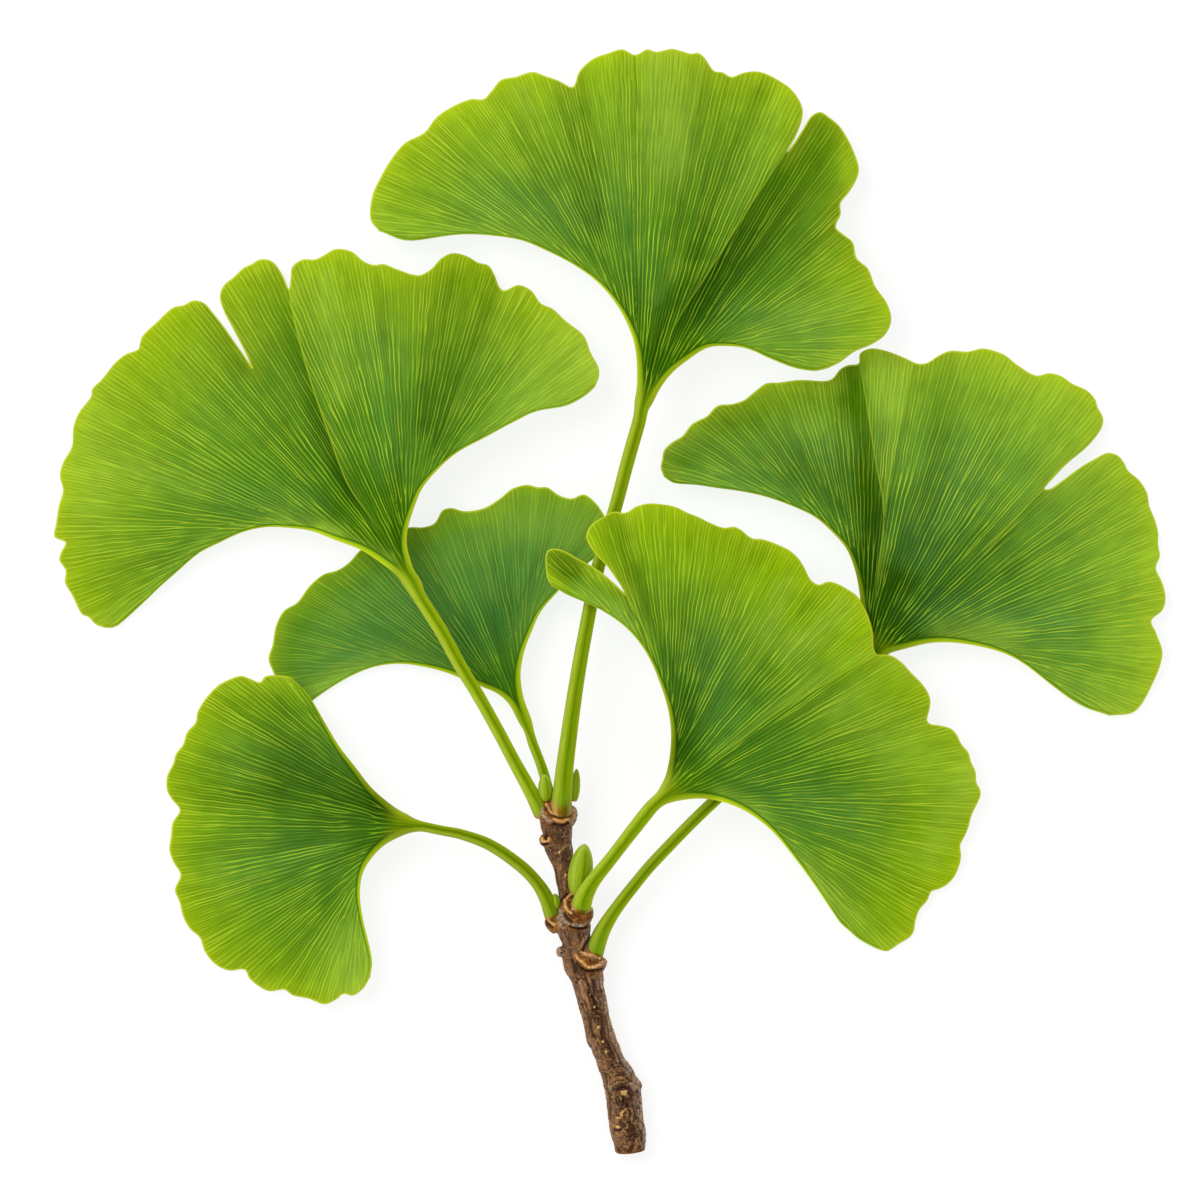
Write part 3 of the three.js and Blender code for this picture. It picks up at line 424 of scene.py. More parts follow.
# %% The leaf in front
LEAVES["leaf_front"] = dict(
    apex=(5, -25.9, 9.6), reach=38, blush=0.4,
    side_a=[
        (6, -23.7), (6.8, -22.2), (7.3, -20.5), (7.6, -18.5), (7.5, -14.5), (6.4, -10.5),
        (4.7, -6.6), (2.2, -3.4), (-1, -1.1), (-5, 0.7), (-7.3, 2), (-13, 4),
    ],
    side_b=[
        (8, -25), (11, -24.6), (14, -25), (17, -26.2), (20, -28.4), (23, -31.9), (26, -36),
        (28.7, -40), (30, -41.2), (31, -42.1), (32.3, -42.9), (33.5, -43.5),
    ],
    margin=[
        (-7.3, 2), (-7.8, 3), (-7.95, 4.2), (-8, 5.6), (-7.7, 6.4), (-6.8, 6.6), (-5.6, 6.3),
        (-4, 5.4), (-2.7, 4.7), (-1.2, 3.8), (0, 2.8), (1.1, 1.8), (2, 0.8), (1.5, 1.8), (0.7, 3),
        (-0.3, 4.4), (-1.5, 5.6), (-2.4, 6.8), (-2.9, 7.9), (-2.7, 9), (-1.9, 9.9), (-0.9, 10.5),
        (0, 11.05), (0.8, 11.25), (1.7, 11.05), (2.3, 11.2), (3.2, 11.8), (4.3, 12.15),
        (5.2, 12.25), (6.4, 12.15), (7.5, 12), (8.5, 11.7), (9.7, 11.1), (11, 10.6), (12.2, 10),
        (13.3, 9.5), (14.4, 9.2), (15.5, 9.35), (16.5, 8.9), (17.3, 8.2), (18, 7.85), (19, 7.8),
        (20.3, 7.4), (22.3, 6.5), (23.4, 5.6), (24.2, 4.5), (25, 2.9), (25.6, 2.3), (26.2, 2.1),
        (27.3, 2.5), (28.5, 2.2), (29.8, 1.5), (31, 0.6), (31.9, -0.9), (32.5, -2.3), (32.9, -4),
        (33, -5.8), (33.4, -6.6), (34.2, -6.6), (35.3, -6.8), (36.6, -7.7), (37.7, -8.9),
        (38.8, -10), (39.7, -11.2), (40.1, -12.3), (40, -13.5), (39.7, -14.8), (40.1, -15.3),
        (41.4, -15.5), (42.7, -15.9), (43.4, -16.6), (44, -17.8), (44.9, -18.9), (45.2, -20),
        (45.8, -21.3), (45.9, -22.6), (46.4, -23.6), (46.4, -24.4), (45.9, -25.5), (45.3, -26.8),
        (44.9, -28.3), (44.4, -29.5), (43.9, -30.5), (44, -31.8), (43.8, -33), (43.2, -34.4),
        (42.3, -35.4), (41.2, -36), (40.3, -36.3), (39.8, -37.4), (38.8, -38.6), (38.3, -40),
        (38.1, -41.3), (37.5, -42.1), (36.2, -42.9), (35.2, -43.6), (34.6, -43.8), (33.5, -43.5),
    ],
    rim=[(0, 8.6), (0.2, 8.8), (0.4, 6.8), (0.55, 6.6), (0.7, 4.6), (0.85, 2), (1, -0.8)],
    arch=[(0, 0.5), (0.5, 1.9), (1, 1)],
    folds=[(39.8, -15, -0.5, 0.03, 0.5), (26.2, 2.1, -0.4, 0.03, 0.5)],
    stalk=[
        (-3.6, -38.1, 5.9, 1.3), (-2.95, -36.4, 6.8, 1.1), (-1.9, -34.7, 7.6, 0.92),
        (-0.2, -32.6, 8.3, 0.84), (1.8, -30, 8.9, 0.84), (3.5, -27.8, 9.3, 0.88),
    ],
    light_and_shade_lines=[
        ([(-8, 5.6), (-5, 4.4)], 2, -1), ([(-5, 4), (-0.5, 1)], 1.8, -0.4),
        ([(-3, 1.8), (2, -1.5), (4.5, -5)], 1.5, 0.3),
        ([(0, 11.5), (1.5, 7), (2.6, 4)], 1.7, -0.6),
        ([(3.5, 1), (6, -5), (8.7, -12), (9, -20)], 1.9, -0.5),
        ([(9, -1), (10.5, -9), (10.5, -17)], 2.5, -0.35), ([(13, 8.5), (19, 6.5)], 2.3, -0.25),
        ([(26.5, 2), (24, -1.5)], 1.2, -0.35), ([(22, 2), (19.5, -4)], 1.6, 0.25),
        ([(29, -1), (22, -7)], 2, 0.3), ([(21, -8), (17, -11)], 1.8, -0.2),
        ([(38, -9), (34, -8), (28, -13)], 1.6, 0.2), ([(45, -22), (40, -32)], 2, 0.25),
        ([(14, -24), (19, -26.5)], 1.2, 0.3), ([(44, -22), (34, -16)], 5, 0.25),
        ([(31, -40), (24, -33)], 1.4, 0.15), ([(29, -21), (31, -20)], 1.8, -0.3),
        ([(8.2, -18), (6.5, -23)], 0.9, -0.5), ([(14, -25), (20, -28.8), (27, -37.5)], 0.8, 0.5),
    ],
    cools=[
        ([(12, -6), (13, -15)], 4, 0.5), ([(18, -24), (30, -27)], 3.5, 0.5),
        ([(-4, 2.5), (2, -2)], 1.5, 0.6),
    ],
    creases=[
        ([(11, -21.6), (16.5, -17.3), (21.3, -13.7), (27.3, -10.1), (33.4, -6.6)], 0.15, 4, -0.25,
         5, 0.55, 0.4),
        ([(6, -8), (4.2, -3.5), (2, 0.8)], -0.3, 2.4, 0.1, 2, 0.6, 0.3),
    ],
)
print("points on its margin:", len(LEAVES["leaf_front"]["margin"]))

# %% The small leaf
LEAVES["leaf_small"] = dict(
    apex=(-22.9, -28.2, 6.2), reach=31, blush=0.4,
    side_a=[
        (-25.2, -29), (-26.2, -29.4), (-27.9, -30.3), (-29.6, -31.9), (-30.8, -33.9),
        (-31.2, -36.6), (-30.9, -39.2), (-30.2, -42.3), (-29.7, -44.9), (-29.9, -46.9),
    ],
    side_b=[
        (-25.2, -26.6), (-26.2, -26.1), (-27.9, -24.9), (-29.6, -23.4), (-31.6, -20.9),
        (-33.7, -18.2), (-35.7, -14.9), (-37.7, -11.6), (-39.9, -9.4),
    ],
    margin=[
        (-29.9, -46.9), (-30.8, -48.4), (-32.1, -49.3), (-33.3, -49.1), (-34.2, -49.8),
        (-35.7, -50.4), (-37.7, -49.7), (-39.7, -49.3), (-40.7, -48.6), (-42.6, -48.8),
        (-43.9, -48.2), (-45.1, -47.2), (-45.7, -46.1), (-47.7, -46.2), (-49.4, -45.4),
        (-50.7, -43.8), (-51.3, -42.1), (-52.6, -40.9), (-53.4, -39.4), (-53.8, -37.7),
        (-54.4, -36.1), (-53.7, -34.2), (-54.6, -32.6), (-55.1, -31.1), (-54.9, -29.4),
        (-54.7, -27.7), (-53.8, -26.1), (-54.7, -24.9), (-55.4, -23.7), (-55.4, -21.9),
        (-54.6, -20.2), (-54.3, -19.1), (-53.4, -17.9), (-52.9, -16.4), (-51.8, -15.1),
        (-51.6, -13.9), (-50.6, -12.2), (-49.1, -10.6), (-47.7, -9.8), (-46.1, -9.3),
        (-45.1, -9.6), (-43.7, -10.1), (-43.1, -9.4), (-41.8, -9.2), (-39.9, -9.4),
    ],
    rim=[(0, 1.8), (0.2, -0.6), (0.45, 1.8), (0.7, 1), (1, 3.2)],
    arch=[(0, 0.5), (0.5, 1.8), (1, 0.5)],
    folds=[(-53.8, -26.1, -0.5, 0.04, 0.4), (-50.9, -43.4, -0.4, 0.04, 0.4)],
    stalk=[
        (-7.15, -39.3, 3.8, 1), (-7.95, -37, 4.3, 0.92), (-9.2, -35, 4.7, 0.8),
        (-11.3, -32.9, 5.2, 0.78), (-15, -30.4, 5.6, 0.74), (-18.5, -29.1, 6, 0.66),
        (-21, -28.6, 6.1, 0.62),
    ],
    light_and_shade_lines=[
        ([(-29, -25.5), (-36, -22), (-41, -20)], 5.2, -0.7),
        ([(-49, -21), (-56, -20.5)], 2.2, -0.35), ([(-42, -24), (-50, -24.5)], 2.0, -0.35),
        ([(-46, -12), (-38, -13)], 3, -0.35), ([(-36, -28.5), (-52, -31)], 2.6, -0.3),
        ([(-33, -47), (-32.8, -43)], 3, 0.4), ([(-26.5, -26.8), (-23.5, -28)], 1.4, -0.5),
        ([(-29, -25.4), (-23, -28.2)], 1.2, -0.6),
    ],
    cools=[([(-36, -20), (-46, -20)], 4, 0.5), ([(-36, -31), (-47, -33)], 4, 0.5)],
)
print("points on its margin:", len(LEAVES["leaf_small"]["margin"]))

# %% The leaf behind the others
LEAVES["leaf_back"] = dict(
    apex=(-9.5, -18, 4.2), reach=31, blush=0.4,
    side_a=[
        (-11.2, -15.4), (-12.4, -13.1), (-13.9, -11.6), (-15.9, -10.7), (-18.6, -9.6),
        (-20.4, -8.9), (-23.1, -8.2), (-26.1, -7.8), (-29.1, -8.1), (-31.9, -9.1), (-34.9, -10.8),
        (-38.6, -13.6),
    ],
    side_b=[
        (-9.6, -15.4), (-10.5, -12.8), (-11.1, -9.8), (-10.8, -6.8), (-9.8, -3.9), (-8.6, -1.3),
        (-6.6, 1.1), (-2.8, 4.7), (-1.8, 5.5), (-0.4, 6.6), (0.2, 8.6),
    ],
    margin=[
        (-38.6, -13.6), (-41, -12), (-42.1, -8.9), (-42.7, -7.2), (-42.2, -5.4), (-41.8, -3.1),
        (-40.8, -1.2), (-39.1, -0.1), (-37.6, 1.9), (-35.8, 3.4), (-34.1, 3.9), (-32.6, 4.9),
        (-31.2, 6.4), (-28.5, 8), (-26.5, 8.9), (-24.9, 9.3), (-23.3, 9.3), (-21.9, 9.8),
        (-20.9, 11.4), (-19.8, 11.7), (-18.1, 11.3), (-15.7, 11.7), (-13.7, 12.9), (-12.2, 14.1),
        (-10.4, 14.6), (-8.9, 14.3), (-7.8, 14.3), (-6.3, 13.3), (-4.7, 12.9), (-3.3, 13.4),
        (-2.2, 12.8), (-0.9, 11.2), (0.2, 8.6),
    ],
    rim=[(0, -0.2), (0.2, 0.3), (0.4, 1.6), (0.6, 2.6), (0.8, 2.2), (1, 3.4)],
    arch=[(0, 0.4), (0.5, 0.9), (1, 0.3)],
    folds=[(-22.1, 9.8, -0.4, 0.04, 0.4), (-6, 13.2, -0.4, 0.03, 0.4)],
    stalk=[(-7.3, -25.2, 3.4, 0.7), (-8.05, -22.1, 3.7, 0.66), (-8.65, -20.2, 3.9, 0.62)],
    light_and_shade_lines=[
        ([(-4, 9), (-12, 10.5)], 3.2, 0.28), ([(-40, -6), (-37, 1), (-32, 4)], 2.6, -0.25),
        ([(-37, -11), (-31, -9.5)], 1.8, 0.3),
    ],
)
print("leaves:", ", ".join(LEAVES))

# %% [markdown]
# ## From share and radius to a place
#
# The basal edges of a real leaf are curved, so a fan of straight rays would miss them. Here every
# ray bends with the edge on its side, most at the edge and hardly at all in the middle. Veins run
# straight from the apex, or leave the curved edge where it turns away from them.

# %% A leaf's own coordinates
EDGE_STEP = 0.5  # between the points of a basal edge
EDGE_REST = 0.05  # points of an edge that lie no further in than this send out no vein
NO_ANGLE = -9.0
HALVINGS = 30  # in the search for the share of a point
SHORTEST_RUN = 0.3


class Fan:
    """Turns share across the fan and radius from the apex into a place in the leaf."""

    def __init__(self, leaf, seed):
        self.apex = np.array(leaf["apex"][:2], float)
        self.apex_height = leaf["apex"][2]
        self.reach = leaf["reach"]
        self.rim, self.arch = leaf["rim"], leaf["arch"]
        self.seed = seed
        middle = leaf["margin"][len(leaf["margin"]) // 2]
        self.axis = math.atan2(middle[1] - self.apex[1], middle[0] - self.apex[0])
        self.side_a = np.stack(self.polar(leaf["side_a"]), axis=1)
        self.side_b = np.stack(self.polar(leaf["side_b"]), axis=1)
        self.far_a, self.far_b = self.side_a[-1, 1], self.side_b[-1, 1]
        self.spread = self.far_a - self.far_b
        self.folds = [(float(self.share_at([fold[:2]])[0]), *fold[2:]) for fold in leaf["folds"]]
        self.edges = [smooth_line([self.apex, *leaf[side]], EDGE_STEP)
                      for side in ("side_a", "side_b")]
        self.light_and_shade_lines = leaf["light_and_shade_lines"]
        self.cools, self.creases = leaf.get("cools", ()), leaf.get("creases", ())

    def turned(self, away):
        """Directions, measured from the fan's own axis."""
        angle = np.arctan2(away[..., 1], away[..., 0]) - self.axis
        return angle - np.round(angle / math.tau) * math.tau

    def polar(self, points):
        away = np.asarray(points, float) - self.apex
        return np.hypot(away[:, 0], away[:, 1]), self.turned(away)

    def angle_at(self, share, radius):
        from_a = through(self.side_a, radius) - self.far_a
        from_b = through(self.side_b, radius) - self.far_b
        return self.far_a - self.spread * share + (1 - share) ** 2 * from_a + share ** 2 * from_b

    def share_at(self, points):
        radius, angle = self.polar(points)
        low, high = np.zeros_like(angle), np.ones_like(angle)
        for _ in range(HALVINGS):
            half = (low + high) / 2
            beyond = self.angle_at(half, radius) > angle
            low, high = np.where(beyond, half, low), np.where(beyond, high, half)
        return (low + high) / 2

    def place(self, share, radius):
        angle = self.axis + self.angle_at(share, radius)
        x = self.apex[0] + radius * np.cos(angle)
        y = self.apex[1] + radius * np.sin(angle)
        return x, y

    def veins_at(self, points, share):
        """Direction of the vein at each point, and how far it has run straight to get there."""
        radius, direct = self.polar(points)
        found = []
        for edge, sign in zip(self.edges, (1, -1)):
            away = points[:, None, :] - edge[None, :, :]
            run = np.hypot(away[..., 0], away[..., 1])
            angle = sign * self.turned(away)
            beyond = np.hypot(*(edge - self.apex).T)[None, :] > radius[:, None] - EDGE_REST
            angle[beyond] = NO_ANGLE
            best = np.argmax(angle, axis=1)
            row = np.arange(len(points))
            turned = angle[row, best] > sign * direct
            found.append((np.where(turned, sign * angle[row, best], direct),
                          np.where(turned, run[row, best], radius)))
        near_a = share < 0.5
        angle = np.where(near_a, found[0][0], found[1][0])
        run = np.where(near_a, found[0][1], found[1][1])
        return angle, np.maximum(run, SHORTEST_RUN)


fans = {name: Fan(leaf, seed + 1) for seed, (name, leaf) in enumerate(LEAVES.items())}
for name, fan in fans.items():
    print(name, "opens", round(math.degrees(fan.spread)), "degrees")

# %% [markdown]
# ## Height of a blade
#
# A living blade is never flat. Its height here is a sum of plain forms: the way up from apex to
# margin, an arch, soft folds, shallow pleats and a small jump at each crease. It could also be
# sculpted, but that leaves dents that a leaf hasn't. Where the sum would sink into the table, the
# blade flattens out on it instead.

# %% Folds, pleats and creases
FAR_AWAY = 50.0  # for points that have no margin, foot or crease near them
SOLID_BLADE = 0.5  # thickness of the leaf solids, which sets how low a blade's middle may sink
TABLE_SOFTNESS = 0.5  # height over which a drooping blade flattens out on the table
CREASE_WIDTH = 0.3  # the jump in height at a crease takes about twice this
CREASE_FADE = 2.5  # how far beside a crease its jump is gone again
CREASE_START = 0.3  # share of its length over which a crease sets in
CREASE_LINE = (0.8, 1.6)  # between these distances from a crease its own line fades out
SHADE_CORE = 0.2  # share of its width over which the shade beside a crease is even
SHADE_NARROWEST = 0.2  # that shade widens outwards from this share of its full width
PLEATS = ((5.3, 0.1), (11.7, 0.05), (19.9, 0.03), (31.1, 0.02))  # waves across the fan, mm high
PLEAT_SHIFT, PLEAT_BEND = 0.618, 0.15  # in waves


def fold_at(fan, fold, share, radius):
    centre, height, width, start = fold
    off = (share - centre) / width
    return height * smooth_step(start, 1, radius / fan.reach) * np.exp(-off * off)


def pleats_at(fan, share, radius):
    along = radius / fan.reach
    total = np.zeros_like(share)
    for waves, height in PLEATS:
        phase = fan.seed * waves * PLEAT_SHIFT
        bend = PLEAT_BEND * np.sin(3 * along + phase)
        total += height * np.sin(math.tau * (waves * share + bend + phase))
    return total * smooth_step(0.1, 0.9, along)


def creases_at(fan, points):
    """Distance to the nearest crease, left above zero, its painted shade beside and painted line.
    """
    nearest = np.full(len(points), FAR_AWAY)
    left, right, line, jump = (np.zeros(len(points)) for _ in range(4))
    for path, on_left, wide_left, on_right, wide_right, shine, step in fan.creases:
        path = smooth_line(path, 1.0)
        off, passed = beside_line(points, path)
        reach = np.linalg.norm(path[-1] - fan.apex)
        wider = np.hypot(*(points - fan.apex).T) / reach
        starts = smooth_step(0, CREASE_START, passed)
        far = np.abs(off) / np.maximum(wider, SHADE_NARROWEST)
        closer = np.abs(off) < np.abs(nearest)
        nearest = np.where(closer, off, nearest)
        fade_left = 1 - smooth_step(SHADE_CORE * wide_left, wide_left, far)
        fade_right = 1 - smooth_step(SHADE_CORE * wide_right, wide_right, far)
        left = np.where(closer, on_left * starts * fade_left, left)
        right = np.where(closer, on_right * starts * fade_right, right)
        shown = starts * (1 - smooth_step(*CREASE_LINE, np.abs(off)))
        line = np.where(closer, shine * shown, line)
        fade = np.exp(-np.abs(off) / CREASE_FADE)
        jump += step * starts * 0.5 * np.tanh(off / CREASE_WIDTH) * fade
    return nearest, left, right, line, jump


def height_at(fan, share, radius, points):
    """Height of the middle of the blade, which never sinks into the table."""
    along = radius / fan.reach
    level = fan.apex_height + (through(fan.rim, share) - fan.apex_height) * along
    height = level + 4 * through(fan.arch, share) * along * (1 - along)
    height = height + sum(fold_at(fan, fold, share, radius) for fold in fan.folds)
    height = height + pleats_at(fan, share, radius) + creases_at(fan, points)[4]
    over = height - SOLID_BLADE / 2
    return SOLID_BLADE / 2 + (over + np.hypot(over, TABLE_SOFTNESS)) / 2


print("a jump at a crease is", 2 * CREASE_WIDTH, "mm wide")

# %% [markdown]
# ## Closed skins from rings
#
# Every green piece is a stack of rings: round rings along a stalk, and flat rings, over the top
# of a blade and back along its underside. Bridging ring to ring gives one closed skin with no
# seam between stalk and blade, which a boolean union of a tube and a plate would not. Near the
# stalk a ring needs only a few points and at the margin some hundreds, so neighbouring rings may
# differ in their count, and the bridge then steps along whichever ring lags behind.

# %% Bridge rings into a mesh
# the numbers that every point of a leaf keeps for the shaders
FIELDS = ("vein", "run", "along", "margin", "side", "across", "stalk", "under", "wash", "cool",
          "foot", "crease", "shade_left", "shade_right", "line", "radius")


def rows_of(places, fields, size):
    """The rows of a ring: x, y and z and then one number for each field."""
    columns = [*places] + [fields.get(field, 0.0) + np.zeros(size) for field in FIELDS]
    return np.stack(columns, axis=1)


def bridge(near, far, start):
    """Faces between two rings of near and far points, the first of which is vertex start."""
    if near == far:
        i = np.arange(near)
        j = (i + 1) % near
        return np.stack([start + i, start + j, start + near + j, start + near + i], 1).tolist()
    faces = []
    i = j = 0
    while i < near or j < far:
        a, b = start + i % near, start + near + j % far
        if (i + 1) / near <= (j + 1) / far:
            faces.append([a, start + (i + 1) % near, b])
            i += 1
        else:
            faces.append([a, start + near + (j + 1) % far, b])
            j += 1
    return faces


def cap(start, count):
    """A strip of faces that closes a ring, from each point to the one opposite."""
    pairs = range(count // 2 - 1)
    return [[start + i, start + count - 1 - i, start + count - 2 - i, start + i + 1] for i in pairs]


def loft(rings):
    """Vertices and faces of a closed skin over a stack of rings."""
    faces = cap(0, len(rings[0]))
    start = 0
    for near, far in zip(rings, rings[1:]):
        faces += bridge(len(near), len(far), start)
        start += len(near)
    last = cap(start, len(rings[-1]))
    faces += [face[::-1] for face in last]
    return np.concatenate(rings), faces


def store(mesh, field, values):
    """Keeps one number with each point of a mesh."""
    layer = mesh.attributes.new(field, "FLOAT", "POINT")
    layer.data.foreach_set("value", values.astype(np.float32))


def add_skin(name, rings, fields):
    """An object from rings whose rows hold x, y, z and then one number for each field."""
    points, faces = loft(rings)
    mesh = bpy.data.meshes.new(name)
    mesh.from_pydata((points[:, :3] * MM).tolist(), [], faces)
    for column, field in enumerate(fields, start=3):
        store(mesh, field, points[:, column])
    mesh.shade_smooth()
    return add_object(name, mesh)


print("numbers kept with each point of a leaf:", len(FIELDS))

# %% [markdown]
# ## A blade with a fitted grid
#
# Each rib of the grid ends exactly at a point of the margin, so lobes and clefts come out sharp.
# Ribs that simply ran straight to those points would crowd together beside a cleft, all the way
# down to the stalk. So ribs start out evenly spaced between the feet of the clefts and swing over
# to their own end points in the outer part of the blade. A rib may only swing towards the side
# where the margin lies further in, or it would cross its neighbours, and the feet of all steep
# pieces of the margin see to that.

# %% Ribs of a blade
RIB_SPACING = 0.34
STEEP = 0.7  # share of a step along the margin that leads outwards or inwards
STEEP_RISE = 0.7  # mm
FEET_GAP = 0.003  # least share between two feet
REACH_SAMPLES = 160
REACH_WINDOW = 0.03  # share to either side in which the longest rib counts
REACH_SMOOTHING = 6  # samples to either side over which that is evened out


def feet_of(lengths):
    """The ribs at the inner ends of all steep pieces of the margin."""
    rise = np.diff(lengths)
    slope = np.where(np.abs(rise) > STEEP * RIB_SPACING, np.sign(rise), 0)
    feet, start = [], 0
    for i in range(1, len(slope) + 1):
        if i == len(slope) or slope[i] != slope[start]:
            if slope[start] and abs(lengths[i] - lengths[start]) > STEEP_RISE:
                feet.append(start if slope[start] > 0 else i)
            start = i
    return sorted(set(feet))


def reach_at(ends, lengths, share):
    """How far the blade would reach there if it had no clefts."""
    at = np.linspace(0, 1, REACH_SAMPLES)
    close = np.abs(at[:, None] - ends) < REACH_WINDOW
    reach = np.max(np.where(close, lengths, 0), axis=1)
    padded = np.pad(reach, REACH_SMOOTHING, mode="edge")
    window = 2 * REACH_SMOOTHING + 1
    return np.interp(share, at, np.convolve(padded, np.ones(window) / window, mode="valid"))


def ribs_of(fan, leaf):
    """Where each rib ends on the margin, as shares and radii, and the share where it starts."""
    outline = smooth_line(leaf["margin"], RIB_SPACING)
    lengths = fan.polar(outline)[0]
    ends = fan.share_at(outline)
    ends[0], ends[-1] = 0, 1
    feet = [0]
    for foot in feet_of(lengths):
        if ends[feet[-1]] + FEET_GAP < ends[foot] < 1 - FEET_GAP:
            feet.append(foot)
    feet.append(len(ends) - 1)
    starts = np.interp(np.arange(len(ends)), feet, ends[feet])
    return ends, lengths, starts, outline


for name, fan in fans.items():
    print(name, "has", len(ribs_of(fan, LEAVES[name])[0]), "ribs")

# %% [markdown]
# ## Thickness and edges
#
# A ginkgo blade is thin and leathery. It swells towards the stalk, has a bead along its two basal
# edges, and its rim is rounded off. A modifier could thicken a sheet, but evenly. So each row of
# the grid is made twice, once for the top and once for the underside, with the thickness that
# belongs there. Every point also notes what the shaders need, such as its distance to the margin.

# %% One row of a blade
FAN_START = 2.6  # radius at which the stalk has become the blade
STALK_FADE = 6.5  # radius up to which the stalk's stripes run on into the blade
STRIPES_ON_BLADE = 0.85  # how strong they are there at first
BLADE_THICKNESS = 0.36
EDGE_ROUNDING = 0.35
EDGE_THINNEST = 0.2  # of the full thickness
BASE_SWELL = 0.45
BASE_FADE = 5.0
BEAD_HEIGHT = 0.13
BEAD_INSET = 0.38
BEAD_WIDTH = 0.3
BEAD_FADE = 22.0
# painted light beside the basal edges
EDGE_LIGHT = 0.25
EDGE_LIGHT_WIDTH = 3.0
EDGE_LIGHT_START = (0.25, 0.6)  # share of the way to the margin over which it sets in
VEIN_SPACING = 0.42  # where the veins start to fork
FIRST_FORK = 4.0  # radius of the first fork


def soft_lines(points, lines):
    """The amounts of all the lines at each point, each fading out beside its line."""
    total = np.zeros(len(points))
    for path, width, amount in lines:
        off, _ = beside_line(points, path)
        total = total + amount * np.exp(-(off / width) ** 2)
    return total


def light_and_shade_at(fan, points, side, along):
    """How much painted light the green gets, or painted shade below zero: near the leaf's own
    lines, and painted light beside its basal edges.
    """
    shown = smooth_step(*EDGE_LIGHT_START, along)
    total = EDGE_LIGHT * np.exp(-(side / EDGE_LIGHT_WIDTH) ** 2) * shown
    return total + soft_lines(points, fan.light_and_shade_lines)


def blade_row(fan, share, radius, along, to_margin):
    """One ring of a blade: over the top from left to right and back along the underside."""
    x, y = fan.place(share, radius)
    points = np.stack([x, y], axis=1)
    middle = height_at(fan, share, radius, points)
    from_a = fan.angle_at(0.0, radius) - fan.angle_at(share, radius)
    from_b = fan.angle_at(share, radius) - fan.angle_at(1.0, radius)
    side = radius * np.maximum(np.minimum(from_a, from_b), 0)
    inset = np.clip(np.minimum(side, to_margin) / EDGE_ROUNDING, 0, 1)
    rounding = EDGE_THINNEST + (1 - EDGE_THINNEST) * np.sqrt(1 - (1 - inset) ** 2)
    across = 2 * share - 1
    lens = np.sqrt(np.maximum(1 - across ** 2, 0))
    half = BLADE_THICKNESS / 2 * rounding + BASE_SWELL * lens * np.exp(-radius / BASE_FADE)
    bead = np.exp(-((side - BEAD_INSET) / BEAD_WIDTH) ** 2) * np.exp(-radius / BEAD_FADE)
    direction, run = fan.veins_at(points, share)
    off, left, right, line, _ = creases_at(fan, points)
    fields = {
        "vein": (fan.far_a - direction) * FIRST_FORK / VEIN_SPACING, "run": run,
        "along": along, "margin": to_margin, "side": side, "across": across,
        "stalk": STRIPES_ON_BLADE * (1 - smooth_step(FAN_START, STALK_FADE, radius)),
        "wash": light_and_shade_at(fan, points, side, along), "cool": soft_lines(points, fan.cools),
        "foot": FAR_AWAY, "crease": off,
        "shade_left": left, "shade_right": right, "line": line, "radius": radius,
    }
    upper = rows_of((x, y, middle + half + BEAD_HEIGHT * bead * rounding), fields, len(x))
    lower = rows_of((x, y, middle - half), {**fields, "under": 1.0}, len(x))
    return np.concatenate([upper, lower[::-1]])


print("a blade is", BLADE_THICKNESS, "mm thick")

# %% Rings round a blade
RIB_SWING = 14.0
BLADE_ROWS = 54
ROW_CROWDING = 1.15
RIM_ROWS = (0.4, 0.15, 0.0)  # the last rows lie this far inside the margin
FEWER_RIBS = ((5.0, 16), (9.0, 40), (17.0, 110))  # up to this radius, so many ribs are enough


def blade_rings(fan, leaf):
    ends, lengths, starts, outline = ribs_of(fan, leaf)
    tree = kdtree.KDTree(len(outline))
    for i, point in enumerate(outline):
        tree.insert((*point, 0), i)
    tree.balance()
    rings = []
    shares = (np.arange(BLADE_ROWS) / BLADE_ROWS) ** ROW_CROWDING
    for row in range(BLADE_ROWS + len(RIM_ROWS)):
        if row < BLADE_ROWS:
            radius = FAN_START + (lengths - FAN_START) * shares[row]
            usual = FAN_START + (fan.reach - FAN_START) * shares[row]
        else:
            radius = lengths - RIM_ROWS[row - BLADE_ROWS]
            usual = fan.reach
        count = next((few for limit, few in FEWER_RIBS if usual < limit), len(ends))
        kept = np.round(np.linspace(0, len(ends) - 1, count)).astype(int)
        radius = radius[kept]
        along = radius / lengths[kept]
        share = starts[kept] + (ends[kept] - starts[kept]) * along ** RIB_SWING
        points = np.stack(fan.place(share, radius), axis=1)
        to_margin = np.array([tree.find((*point, 0))[2] for point in points])
        tone = np.minimum(radius / reach_at(ends, lengths, share), 1)
        rings.append(blade_row(fan, share, radius, tone, to_margin))
    return rings


print("rows of a blade:", BLADE_ROWS + len(RIM_ROWS))

# %% [markdown]
# ## A stalk that opens into its blade
#
# The stalk is a grooved rod. It could be a bevelled curve, but rings of its own can be grooved,
# flattened towards the apex and rounded at the foot, and they join up with the blade's rings.

# %% Rings round a stalk
STALK_SIDES = 32
STALK_STEP = 0.45
FEWEST_RINGS = 12
GROOVE_DEPTH = 0.3  # of the stalk's radius
GROOVE_WIDTH = 0.32
GROOVE_START = 4.0  # distance from the foot over which the groove sets in
APEX_FLATTENING = 0.25
HEEL = (0.95, 0.75, 0.4)  # rings that round off the foot, as shares of its length
HEEL_LENGTH = 0.2  # and half the stalk's radius


def directions(centres):
    """Unit vectors ahead, to the left and up at each point of a line."""
    ahead = np.gradient(centres, axis=0)
    ahead /= np.linalg.norm(ahead, axis=1)[:, None]
    left = np.stack([-ahead[:, 1], ahead[:, 0], np.zeros(len(ahead))], axis=1)
    left /= np.linalg.norm(left, axis=1)[:, None]
    return ahead, left, np.cross(ahead, left)


